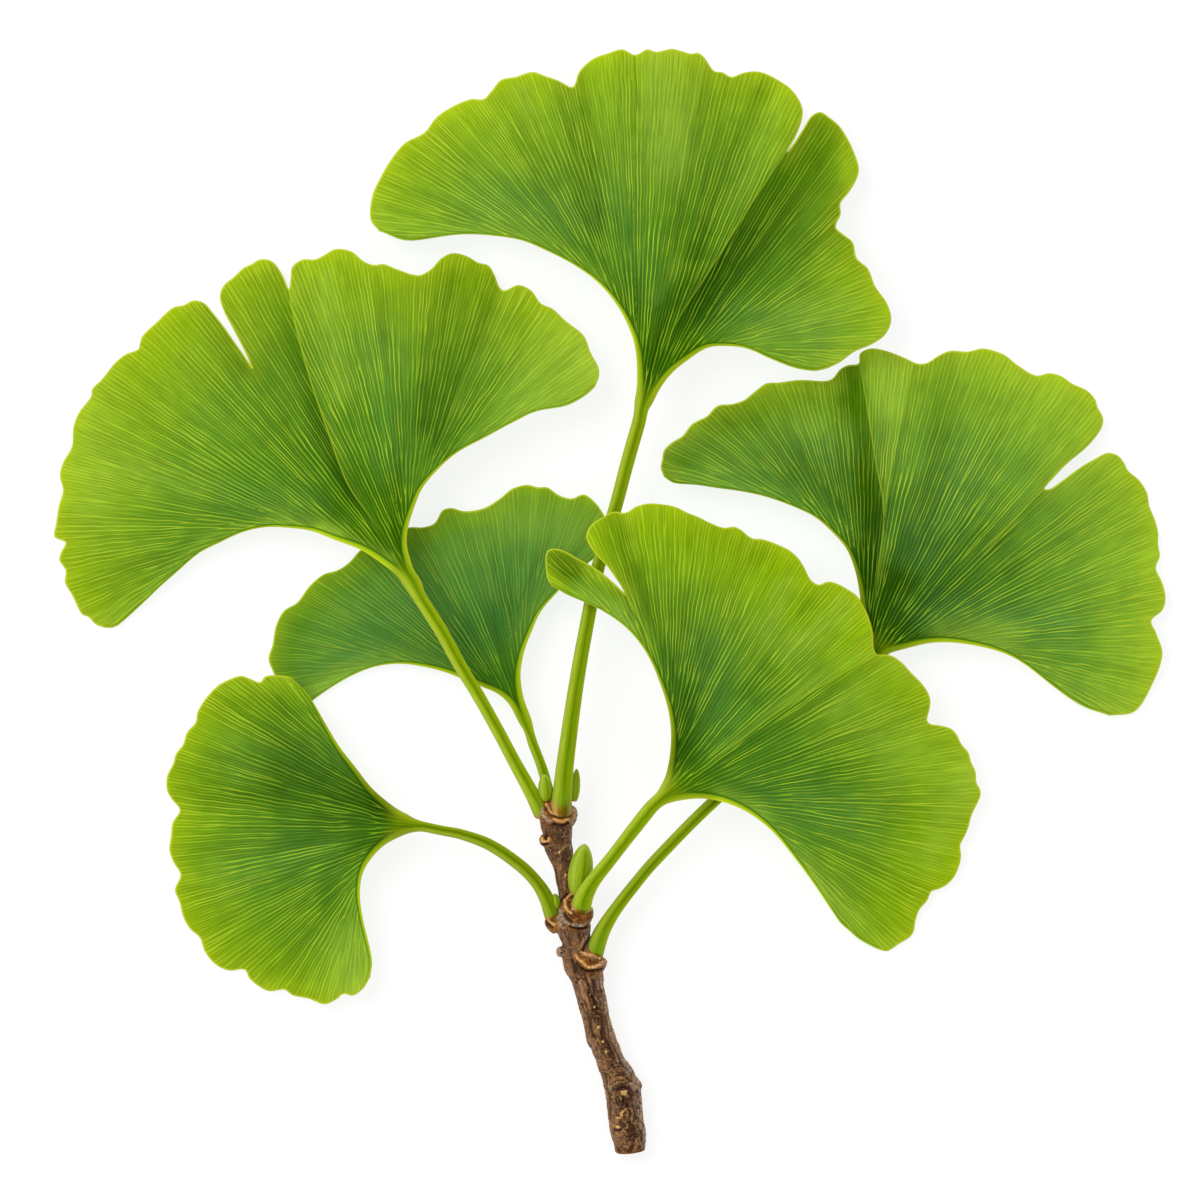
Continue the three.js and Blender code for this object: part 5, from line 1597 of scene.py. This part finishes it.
sections = np.array(TWIG_SECTIONS)
ys = np.linspace(sections[0, 0], sections[-1, 0], TWIG_ROWS)
left_edge = through(sections[:, (0, 1)], ys)
right_edge = through(sections[:, (0, 2)], ys)
centre_height = through(sections[:, (0, 3)], ys)
centres = np.stack([(left_edge + right_edge) / 2, ys, centre_height], axis=1)
radii = (right_edge - left_edge) / 2 * TWIG_SLIMMER
outwards = centres[0] - centres[HEADING_ROW]
outwards /= np.linalg.norm(outwards)
cut = [centres[0] + outwards * beyond for beyond, _ in CUT_END]
cut_radii = [radii[0] * share for _, share in CUT_END]
twig_parts = [round_rings(np.concatenate([cut, centres]), np.concatenate([cut_radii, radii]))]
for foot, rim, radius in CUPS:
    steps = np.linspace(0, 1, CUP_ROWS)
    line = np.outer(1 - steps, foot) + np.outer(steps, rim)
    twig_parts.append(round_rings(line, radius * through(CUP_PROFILE, steps)))
twig_parts += [knob_rings(place, radius) for place, radius in KNOBS]
twig_skin = fused("twig_skin", twig_parts, TWIG_GRID)
print("fused twig:", len(twig_skin.polygons), "faces")

# %% [markdown]
# ## Marks on the bark
#
# The marks that make this twig this twig, such as the bright lips round the foot of each stalk,
# the dark lines of painted shade under the cups, the scar and the flakes near the cut end, are
# given as short lines on its upper side. Noise alone gives bark in general, but never the same
# knobs and scars.

# %% Lines on the upper side, in millimetres
CREVICES = [
    [(-7.95, -25.8), (-7.4, -26.6), (-6.7, -26.9), (-5.9, -27.02), (-5.2, -26.9), (-4.95, -26.6)],
    [(-7, -27.85), (-6.3, -28), (-5.6, -27.95), (-5.1, -27.7)],
    [(-6.5, -38.1), (-6.2, -37.5), (-5.7, -37), (-5.2, -36.6)],
    [(-5.7, -39), (-5.3, -39.7), (-4.7, -40.15)],
    [(-4.9, -40.6), (-4.2, -40.8), (-3.4, -40.85), (-2.7, -40.6)],
    [(-2.4, -42), (-2.8, -42.7), (-3.35, -43.6)],
    [(-4.2, -45.2), (-3.7, -45.8), (-3, -46.15), (-2.2, -46.2), (-1.4, -46.1), (-0.6, -45.9)],
    [(-8.75, -30.3), (-8.2, -30.4), (-7.7, -30.25)], [(-8.4, -38.9), (-7.9, -40), (-7.2, -40.8)],
    [(-7.95, -29.3), (-7.85, -29.7)],
]
CRACKS = [
    [(-4.7, -45.1), (-4.5, -45.8), (-4.3, -46.4)], [(-3.6, -50.3), (-3, -51.2), (-2.6, -52.3)],
    [(-2.6, -52.3), (-2.4, -53.4), (-2.1, -54.5)], [(-0.6, -51.7), (-0.3, -53.1), (0.1, -55)],
    [(0.1, -55), (0.8, -56.3), (1.5, -57.6), (2.3, -58.5)], [(1.7, -61.9), (1.8, -62.8)],
    [(0.9, -61), (1.4, -60.75), (2, -60.7), (2.6, -61.05)], [(2.1, -59.5), (2.7, -60)],
    [(-0.6, -59.2), (-0.2, -60.8), (0, -62.4), (0, -64.6)],
    [(3.1, -63.6), (3.4, -64.6), (2.9, -65.1)],
    [(0.6, -66.1), (1.2, -66.15), (2, -65.5)], [(1.8, -65.4), (2.6, -65.1)],
    [(3.5, -65.4), (4, -66.5), (4.1, -67.5)], [(0.7, -62.2), (1, -63.1)],
    [(2.4, -63.5), (2.1, -62.8)],
    [(0.2, -56), (-0.4, -55.7), (-0.9, -56)], [(-0.9, -53.7), (-1, -54.7), (-0.6, -55.7)],
    [(-2.2, -49.3), (-1.6, -50.4), (-1.6, -51.2)], [(-4.6, -45.1), (-4, -46.2), (-3.6, -47.2)],
    [(-6.8, -33.5), (-6.5, -35.5), (-6.3, -37.4)],
]
RIDGES = [
    [(-1.6, -53.7), (-1.2, -53.1)], [(-0.9, -50.6), (-0.6, -51.8), (-0.2, -53.1)],
    [(0.2, -55), (0.8, -56.6), (1.1, -57.6)], [(-0.3, -58.7), (0.2, -59.2), (0.4, -59.7)],
    [(0, -60.2), (0.8, -59.6), (1.8, -59.6), (2.3, -60)], [(0.3, -60.6), (1, -60.1), (1.8, -60.1)],
    [(1.7, -63.8), (2.1, -63.4), (2.7, -63.4), (2.9, -63.9), (2.7, -64.9), (3.4, -65.5)],
    [(0.3, -65.4), (0.8, -65.7), (1.3, -65.8)], [(0.8, -64.5), (1.2, -64.65), (1.6, -64.5)],
    [(1.9, -67), (1.8, -67.5), (2.1, -67.8)],
    [(0.8, -66.4), (1.2, -66.8), (1.7, -66.6), (1.6, -66.3)],
    [(-2.9, -51.2), (-3.2, -50.6)], [(0.2, -58.4), (0.7, -58.8), (0.5, -59.5)],
    [(-0.4, -58.4), (-0.6, -57.6)], [(-1.6, -54.9), (-1.9, -55.8)],
    [(-4.3, -45.1), (-3.6, -45.8)], [(3.2, -63.6), (3.6, -64.4)],
    [(-5.3, -30.5), (-5.7, -30.7), (-6, -31), (-6.3, -31.4)], [(-6.05, -32.9), (-6.15, -33.5)],
    [(-5.5, -34.2), (-5.7, -35), (-5.6, -36)], [(-4.5, -44.5), (-3.6, -43), (-2.9, -41.8)],
    [(-6.4, -40.2), (-5.8, -40.8), (-5.3, -40.6)], [(-3.3, -42.3), (-3.6, -43.2)],
    [(-7.6, -30.5), (-7.4, -30.4)],
]
LIPS = [
    [(-7.85, -25.3), (-7.7, -26), (-7.2, -26.42), (-6.5, -26.62), (-5.9, -26.68), (-5.3, -26.55),
     (-5, -26.3)],
    [(-7, -27.15), (-6.4, -27.42), (-5.8, -27.45), (-5.3, -27.25)],
    [(-4.75, -36.6), (-5.2, -36.9), (-5.55, -37.4), (-5.5, -38), (-5.2, -38.6), (-4.8, -38.9)],
    [(-4.6, -38.4), (-3.9, -38.58), (-3.2, -38.7), (-2.5, -38.65), (-2.1, -38.3)],
    [(-3.5, -43.8), (-3, -44.05), (-2.4, -44.15), (-1.8, -44.3), (-1.2, -44.55), (-0.6, -44.2)],
    [(-4.2, -44.2), (-3.9, -44.7), (-3.4, -45.1), (-3, -45.5), (-2.4, -45.72), (-1.8, -45.65),
     (-1.3, -45.4)],
    [(-8.2, -38.8), (-8, -39.4), (-7.5, -40), (-7, -40.4), (-6.7, -40.3)],
    [(-8.4, -29.6), (-8.5, -30), (-7.7, -29.95), (-7.65, -29.6)],
    [(1.5, -61.3), (2.1, -61.25)], [(1.65, -61.6), (1.95, -61.6)],
    [(1.65, -63.75), (1.4, -63.95), (1.5, -64.25)], [(1, -64.55), (1.3, -64.6)],
    [(0.9, -65.6), (1.25, -65.75)],
]
SHOULDERS = [
    [(-8.45, -25.8), (-8.45, -26.5), (-7.95, -27.05), (-7.4, -27.4)],
    [(-4.5, -26), (-4.25, -26.6), (-4.3, -27.1)],
    [(-5, -27.2), (-4.75, -27.6)],
    [(-5.95, -39), (-5.6, -39.85), (-5, -40.25), (-4.2, -40.5), (-3.3, -40.5)],
    [(-6.2, -38.6), (-6.25, -39.6), (-6.1, -40.4)], [(-1, -45.2), (-0.5, -44.95), (-0.25, -44.5)],
    [(-6.3, -43.5), (-6.3, -44.1)], [(0.1, -61.1), (-0.1, -60.6)], [(2.7, -60.3), (3.2, -60.9)],
]
AMBERS = [
    [(-4.7, -39.3), (-3.8, -39.6), (-2.7, -39.2)],
    [(-3.9, -44.7), (-2.9, -45.2), (-1.7, -45.3), (-0.6, -44.8)],
    [(-7.6, -39.9), (-7, -40.5)], [(-7.3, -26.6), (-6, -27.2), (-4.9, -26.8)],
    [(1.2, -69.2), (2.7, -69.4), (4.2, -69)], [(-8.3, -29.8), (-7.7, -29.8)],
]
# corky dots, and painted highlights on the lips of the cups
DOTS_AND_HIGHLIGHTS = [(-0.85, -55.05), (-0.4, -56.3), (-1.4, -53.2), (-1.9, -50.7), (-3.5, -45),
               (-2.6, -45.7), (-1.3, -44.6), (-5.3, -26.5), (-6.25, -31.3), (-5.45, -34.2)]
PITS = [(-4.75, -44.95), (-4.45, -46.4), (-3.95, -47.3), (-4.2, -47.7), (-2.15, -54.4),
        (3.5, -61.25), (-6.05, -43.95), (1.75, -62.4), (-2.4, -44.9), (0, -64.7)]
print("lines on the bark:", sum(map(len, (CREVICES, CRACKS, RIDGES, LIPS, SHOULDERS, AMBERS))))

# %% [markdown]
# ## Marks by chance
#
# Between those lines, and all over the sides and the underside, real bark has countless finer
# cracks, flakes and lumps. Carving each would take days, so a smooth random field makes them for
# the whole skin at once: a crack where it passes its middle value, a flake where it is high. The
# field is stretched along the twig, which gives the long grain of bark. Near the cut end the bark
# is flaky, so the marks lie every way there, and in the upper part they are kept faint.

# %% Soft marks and random marks
LINE_FADE = (0.45, 1.3)  # a line is full within the first share of its half width, and ends
SPOT_FADE = (0.5, 1.3)  # at the second one, and so is a spot
SWIRL = 0.07  # mm that the lines are bent about


def cloudy(points, size, detail=1):
    """Smooth random numbers from about -1 to 1 at each point, with features of that size."""
    seeds = (np.asarray(points) / size).tolist()
    if detail == 1:
        return np.array([noise.noise(seed) for seed in seeds])
    return np.array([noise.fractal(seed, 0.9, 2.0, detail) for seed in seeds])


def lines_on(flat, paths, half_width):
    """1 along each line and 0 beyond its half width, seen from above."""
    nearest = np.full(len(flat), FAR_AWAY)
    for path in paths:
        path = np.asarray(path, float)
        close = np.all((flat > path.min(0) - 1) & (flat < path.max(0) + 1), axis=1)
        nearest[close] = np.minimum(nearest[close], np.abs(beside_line(flat[close], path)[0]))
    return 1 - smooth_step(*LINE_FADE, nearest / half_width)


def spots_on(flat, places, half_width):
    """1 at each place and 0 beyond the half width, seen from above."""
    nearest = np.min([np.hypot(*(flat - place).T) for place in np.array(places)], axis=0)
    return 1 - smooth_step(*SPOT_FADE, nearest / half_width)


# for each point of the skin: its place beside the twig's middle line, and how far round it lies
skin_points = numbers_of(twig_skin.vertices, "co", 3) / MM
outward = numbers_of(twig_skin.vertex_normals, "vector", 3)
skin_y = skin_points[:, 1]
line_x = np.interp(skin_y, ys, centres[:, 0])
line_z = np.interp(skin_y, ys, centres[:, 2])
half_width = np.interp(skin_y, ys, (right_edge - left_edge) / 2)
grain = np.stack([skin_points[:, 0] - line_x, skin_y, skin_points[:, 2] - line_z], axis=1)
around = np.clip(grain[:, 0] / half_width, -1.3, 1.3)
end_cut = smooth_step(0.75, 0.93, -outward[:, 1]) * smooth_step(-68.3, -68.9, skin_y)
swirl = np.stack([cloudy(grain + shift, 0.9) for shift in (7.1, 3.7, -5.3)], axis=1)
flat = skin_points[:, :2] + SWIRL * swirl[:, :2]

# 1 on the twig's tip and inside the cups, where the bark is young and smooth
young = smooth_step(-28.4, -27.6, skin_y)
for foot, rim, radius in CUPS:
    axis = np.array(rim) - foot
    length = np.linalg.norm(axis)
    step = (skin_points - foot) @ axis / length ** 2
    beside = np.linalg.norm(skin_points - foot - np.outer(step, axis), axis=1)
    inside = 1 - smooth_step(1.03, 1.2, beside / radius)
    young = np.maximum(young, inside * smooth_step(0.02, 0.2, step) * (step < 1.4))

# the grain is long, but near the cut end it lies every way
flaky = smooth_step(-57, -61, skin_y)[:, None]
long_grain = grain * (1, 0.22, 1)
warped = long_grain * (1 - flaky) + (grain * (1, 0.75, 1) + 0.5 * swirl) * flaky
upper_side = smooth_step(-0.05, 0.35, outward[:, 2])
upper_part = smooth_step(-47, -43, skin_y)
quiet = (1 - 0.85 * young) * (1 - end_cut) * (1 - 0.6 * upper_part)
crack_lines = 1 - np.abs(cloudy(warped, 0.62, 2)) * 3.2
random_cracks = smooth_step(0.6, 0.97, crack_lines) * quiet
fine_lines = smooth_step(0.5, 0.95, 1 - np.abs(cloudy(warped + 11, 0.3)) * 3.0) * quiet
random_flakes = smooth_step(0.12, 0.45, cloudy(warped + 23, 0.7, 2)) * quiet
lumps = cloudy(grain, 1.6, 2)
fine = cloudy(skin_points, 0.26, 2)
print("points on the bark:", len(skin_points))

# %% Push the skin in and out, and keep the masks
DEEPEST, HIGHEST = -0.45, 0.3  # mm that a point of the skin may move
# half the width of each kind of line and spot
LINE_WIDTHS = ((CREVICES, 0.2), (CRACKS, 0.13), (RIDGES, 0.15), (LIPS, 0.19), (SHOULDERS, 0.3),
               (AMBERS, 0.75))
SPOT_WIDTHS = ((PITS, 0.19), (DOTS_AND_HIGHLIGHTS, 0.14))
crevices, cracks, ridges, lips, shoulders, ambers = (
    lines_on(flat, paths, width) * upper_side for paths, width in LINE_WIDTHS)
pits, dots_and_highlights = (spots_on(flat, places, width) * upper_side for places, width in SPOT_WIDTHS)

# how far out each kind moves the skin, in millimetres
push = 0.08 * lumps + 0.035 * fine - 0.12 * random_cracks - 0.04 * fine_lines
push += 0.05 * random_flakes + 0.09 * ridges + 0.16 * lips + 0.14 * shoulders + 0.08 * dots_and_highlights
push -= 0.16 * cracks + 0.28 * crevices + 0.32 * pits
push *= 1 - 0.8 * end_cut
moved = skin_points + outward * np.clip(push, DEEPEST, HIGHEST)[:, None]
twig_skin.vertices.foreach_set("co", (moved * MM).astype(np.float32).ravel())

# the deep marks are painted dark: partly the bark's own dark and partly painted shade in them
deep = [crevices, pits, 0.85 * cracks, 0.75 * random_cracks, 0.4 * fine_lines]
masks = {
    "around": around, "young": young, "end_cut": end_cut, "fine": fine, "amber": ambers,
    "flakes": np.maximum(random_flakes, 0.9 * ridges), "grey": shoulders, "lips": lips,
    "dots_and_highlights": dots_and_highlights,
    "dark": np.clip(np.maximum.reduce(deep) - 0.8 * np.maximum(lips, dots_and_highlights), 0, 1),
}
for mask, values in masks.items():
    store(twig_skin, mask, values)
twig_skin.shade_smooth()
twig = add_object("brown_twig", twig_skin)
print("bark moves", round(float(push.min()), 2), "to", round(float(push.max()), 2), "mm")

# %% [markdown]
# ## Bark
#
# Bark is warm brown on the left flank, dark and reddish along the crest and greyish pink on the
# right; the paler flanks are partly its own colour and partly a painted sheen where the sides turn
# away. Cracks are nearly black, partly their own colour and partly painted shade, and flakes are
# tan. The cups under the stalks are younger, amber brown, with golden lips where the stalk comes
# out, and small painted highlights on some lips.

# %% Bark material
# from the left flank over the crest to the right one: the bark's browns, paler on both flanks
# partly by a painted sheen
BARK_ACROSS_WITH_SHEEN = ((0.0, (150, 116, 88)), (0.16, (128, 94, 68)), (0.34, (86, 58, 38)),
               (0.5, (64, 39, 22)), (0.68, (76, 48, 30)), (0.84, (124, 96, 78)),
               (1.0, (170, 146, 128)))
BARK_UPPER = (88, 60, 40)
MOTTLE_DARK, MOTTLE_LIGHT = (46, 28, 14), (140, 102, 68)
BARK_BLACK, BARK_TAN, BARK_ORANGE = (34, 21, 12), (196, 148, 96), (176, 110, 44)
CURL_TAN = (172, 130, 88)
AMBER, AMBER_DARK = (174, 112, 46), (112, 64, 18)
LIP_GOLD, LIP_PALE, SHOULDER_GREY = (214, 150, 70), (232, 190, 132), (184, 160, 134)
DOT_AND_HIGHLIGHT_GOLD, FLECK_GREY, CUT_WOOD = (255, 208, 132), (206, 192, 176), (150, 106, 62)

bark, shader = new_material("bark", roughness=0.75, shine=0.12)
f = Formula(bark.node_tree)
height = f.node("SeparateXYZ", {"Vector": f.place(1.0)}).outputs["Y"]
brown = f.colours(f.maths("MULTIPLY_ADD", f.field("around"), 0.5, 0.5), BARK_ACROSS_WITH_SHEEN)
brown = f.blend(f.span(height, -44.0, -34.0, 0.0, 0.6), brown, paint(*BARK_UPPER))

# paler above the middle cups, darker on the stretch below them, and one pale patch on the left
pale_stretch = f.span(height, -38.0, -35.5, 1.0, 1.28)
pale_stretch = f.product(pale_stretch, f.span(height, -33.0, -31.0, 1.0, 0.76))
dark_stretch = f.span(height, -44.5, -43.0, 1.0, 0.76)
dark_stretch = f.product(dark_stretch, f.span(height, -41.0, -39.5, 1.0, 1.3))
brown = f.brighten(brown, f.product(pale_stretch, dark_stretch))
left_flank = f.span(f.field("around"), -0.7, -0.2, 1.0, 0.0)
left_flank = f.product(left_flank, f.span(height, -58.0, -56.0))
left_flank = f.product(left_flank, f.span(height, -52.0, -50.0, 1.0, 0.0))
brown = f.brighten(brown, f.span(left_flank, 0.0, 1.0, 1.0, 1.22))

# patches, strands along the grain, and specks
mottle = f.cloud(f.place(1.0), detail=3.0)
brown = f.blend(f.span(mottle, 0.52, 0.68, 0.0, 0.65), brown, paint(*MOTTLE_DARK))
brown = f.blend(f.span(mottle, 0.46, 0.3, 0.0, 0.5), brown, paint(*MOTTLE_LIGHT))
along_grain = f.node("VectorMath", {0: f.place(0.32), 1: (1.0, 0.16, 1.0)}, operation="MULTIPLY")
strands = f.cloud(along_grain.outputs[0], detail=2.0)
brown = f.brighten(brown, f.span(strands, 0.3, 0.7, 0.8, 1.22))
grain_spots = f.cloud(f.place(0.34), detail=2.0)
flecks = f.product(f.span(grain_spots, 0.56, 0.66), f.span(f.field("around"), 0.35, 0.9, 0.0, 0.7))
brown = f.blend(flecks, brown, paint(*FLECK_GREY))
brown = f.blend(f.span(grain_spots, 0.42, 0.3, 0.0, 0.55), brown, paint(*BARK_ORANGE))
brown = f.blend(f.product(f.field("flakes"), 0.6), brown, paint(*BARK_TAN))

# fine curls: where a soft pattern passes its middle value there is a light line, beside a dark one
curl = f.minus(f.cloud(f.place(0.85), detail=1.0), 0.5)
some = f.span(f.cloud(f.place(0.5), detail=0.0), 0.42, 0.55, 0.0, 0.7)
light_curl = f.product(f.span(f.maths("ABSOLUTE", curl), 0.008, 0.026, 1.0, 0.0), some)
under_curl = f.maths("ABSOLUTE", f.total(curl, 0.036))
dark_curl = f.product(f.span(under_curl, 0.01, 0.03, 1.0, 0.0), some)
brown = f.blend(dark_curl, brown, paint(*BARK_BLACK))
brown = f.blend(light_curl, brown, paint(*CURL_TAN))

# the marks that are stored with the points of the skin
amber = f.blend(f.span(mottle, 0.42, 0.62), paint(*AMBER), paint(*AMBER_DARK))
amber = f.brighten(amber, f.span(grain_spots, 0.36, 0.62, 1.25, 0.55))
brown = f.blend(f.product(f.field("young"), 0.45), brown, amber)
brown = f.blend(f.product(f.field("amber"), 0.85), brown, amber)
worn = f.product(f.field("grey"), f.span(grain_spots, 0.38, 0.6, 0.85, 0.25))
brown = f.blend(worn, brown, paint(*SHOULDER_GREY))
wood_rings = f.maths("SINE", f.product(f.field("around"), 30.0))
wood = f.brighten(paint(*CUT_WOOD), f.span(wood_rings, -1.0, 1.0, 0.8, 1.1))
brown = f.blend(f.product(f.field("end_cut"), 0.7), brown, wood)
lip = f.blend(f.span(strands, 0.4, 0.62), paint(*LIP_GOLD), paint(*LIP_PALE))
brown = f.blend(f.product(f.field("lips"), 0.85), brown, lip)
# painted shade in cracks, crevices and pits, over their own darker bark
brown = f.blend(f.product(f.field("dark"), 0.9), brown, paint(*BARK_BLACK))
# corky dots and painted highlights
brown = f.blend(f.product(f.field("dots_and_highlights"), 0.85), brown, paint(*DOT_AND_HIGHLIGHT_GOLD))
brown = f.brighten(brown, f.span(f.field("fine"), -0.6, 0.6, 0.84, 1.16))

relief = f.total(f.cloud(f.place(0.35), detail=3.0), f.product(mottle, 0.6))
relief = f.total(relief, f.product(light_curl, 0.5), f.product(dark_curl, -0.5))
f.feed(shader["Base Color"], brown)
f.feed(shader["Normal"], f.bump(relief, strength=0.6, depth=0.09))
twig.data.materials.append(bark)
print("bark masks:", ", ".join(masks))

# %% [markdown]
# ## Buds
#
# A bud is a blunt egg of closed green scales. Overlapping scale shells would be hidden but for
# their edges, so each bud is one egg whose surface steps in along two slanting scale edges.

# %% The four buds, in millimetres
# base, tip and radius
BUDS = {
    "bud_lower": ((-4.05, -36.7, 5.3), (-3.1, -30.3, 6.6), 1.52),
    "bud_upper_left": ((-7.9, -24.9, 5.4), (-8.15, -21.6, 6), 0.9),
    "bud_upper_right": ((-4.4, -25, 4.9), (-4.1, -20.9, 4.8), 0.6),
    "bud_side": ((-6.5, -38.4, 4.3), (-6.85, -36.5, 4.2), 0.55),
}
BUD_PROFILE = [(0, 0.45), (0.05, 0.62), (0.12, 0.78), (0.3, 0.97), (0.48, 1), (0.68, 0.89),
               (0.84, 0.66), (0.94, 0.4), (0.985, 0.2), (1, 0.08)]
BUD_SIDES, BUD_ROWS = 64, 64
SCALE_EDGES = ((0.64, -0.05), (1.62, 0.22))  # half turns from the left, and lean towards the tip
SCALE_STEP = 0.05  # of the bud's radius
STEP_GROOVE, STEP_SLOPE = 0.02, 0.06  # turns
SLOPE_DEPTH = 0.4  # of the groove's depth


def bud_rings(base, tip, radius):
    up = np.linspace(0, 1, BUD_ROWS)
    centres = np.outer(1 - up, base) + np.outer(up, tip)
    turn = (np.arange(BUD_SIDES) + 0.5) / BUD_SIDES
    egg = round_rings(centres, through(BUD_PROFILE, up) * radius, BUD_SIDES)
    rings = []
    for ring, centre, height in zip(egg, centres, up):
        step = np.zeros(BUD_SIDES)
        for start, lean in SCALE_EDGES:
            off = turn - (start + lean * height) / 2
            off -= np.round(off)
            slope = np.exp(-np.abs(off) / STEP_SLOPE) * (off > 0)
            step -= np.exp(-(off / STEP_GROOVE) ** 2) + SLOPE_DEPTH * slope
        grown = 1 + SCALE_STEP * step * smooth_step(0.1, 0.4, height) * smooth_step(1, 0.8, height)
        ring = centre + (ring - centre) * grown[:, None]
        rings.append(np.column_stack([ring, np.full(BUD_SIDES, height), turn]))
    return rings


buds = {}
for name, measures in BUDS.items():
    buds[name] = add_skin("green_" + name, bud_rings(*measures), ("height", "turn"))
print("buds:", len(buds))

# %% [markdown]
# ## Bud green
#
# A bud's scales are thick and waxy, so it is yellow-green and a little shinier than a leaf. Its
# stripes run from foot to tip, its tip is pale and its foot is brownish where it leaves the bark.
# One strip of colours round the bud paints a light and a dark side on it, a painted highlight and
# painted shade, which this soft light alone would not give.

# %% Bud material
# from the left edge over the top to the right edge, with a painted highlight left of the top and
# painted shade in the groove of a scale edge
BUD_LIT_AND_SHADED = ((0.0, (182, 196, 80)), (0.08, (146, 170, 26)), (0.22, (150, 174, 34)),
             (0.32, (168, 188, 62)), (0.4, (148, 172, 26)), (0.52, (138, 164, 10)),
             (0.6, (112, 142, 0)), (0.7, (134, 160, 14)), (0.8, (158, 180, 46)),
             (0.9, (166, 186, 56)), (1.0, (192, 204, 100)))
BUD_TIP, BUD_BELLY, BUD_FOOT = (168, 194, 70), (126, 166, 10), (190, 150, 44)
bud_paint, shader = new_material("bud_green", roughness=0.5, shine=0.1)
f = Formula(bud_paint.node_tree)
height = f.field("height")
green = f.colours(f.product(f.field("turn"), 2.0), BUD_LIT_AND_SHADED)
stripes = f.point(f.product(f.field("turn"), 40.0), f.product(height, 4.0))
green = f.brighten(green, f.span(f.cloud(stripes, detail=2.0, flat=True), 0.3, 0.7, 0.93, 1.07))
green = f.blend(f.span(height, 0.84, 1.0, 0.0, 0.8), green, paint(*BUD_TIP))
green = f.blend(f.span(height, 0.0, 0.35, 0.45, 0.0), green, paint(*BUD_BELLY))
green = f.blend(f.span(height, 0.02, 0.09, 0.8, 0.0), green, paint(*BUD_FOOT))
f.feed(shader["Base Color"], green)
for piece in buds.values():
    piece.data.materials.append(bud_paint)
print("bud material:", bud_paint.name)

# %% [markdown]
# ## Join the frame
#
# Every piece stands in for the solid of the same place in the frame: it hangs from the frame's
# root, and that solid is hidden.

# %% Stand in for the solids
pieces = {**leaves, **buds, "twig": twig}
for name, piece in pieces.items():
    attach(piece, "root")
    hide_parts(name)
    piece.data.calc_loop_triangles()
    print(name, "has", len(piece.data.loop_triangles), "triangles")

# %% [markdown]
# ## Pieces
#
# Last, the number of pieces that stand in for the solids is printed.

# %% Count the pieces, and finish
print("pieces to measure:", len(pieces))
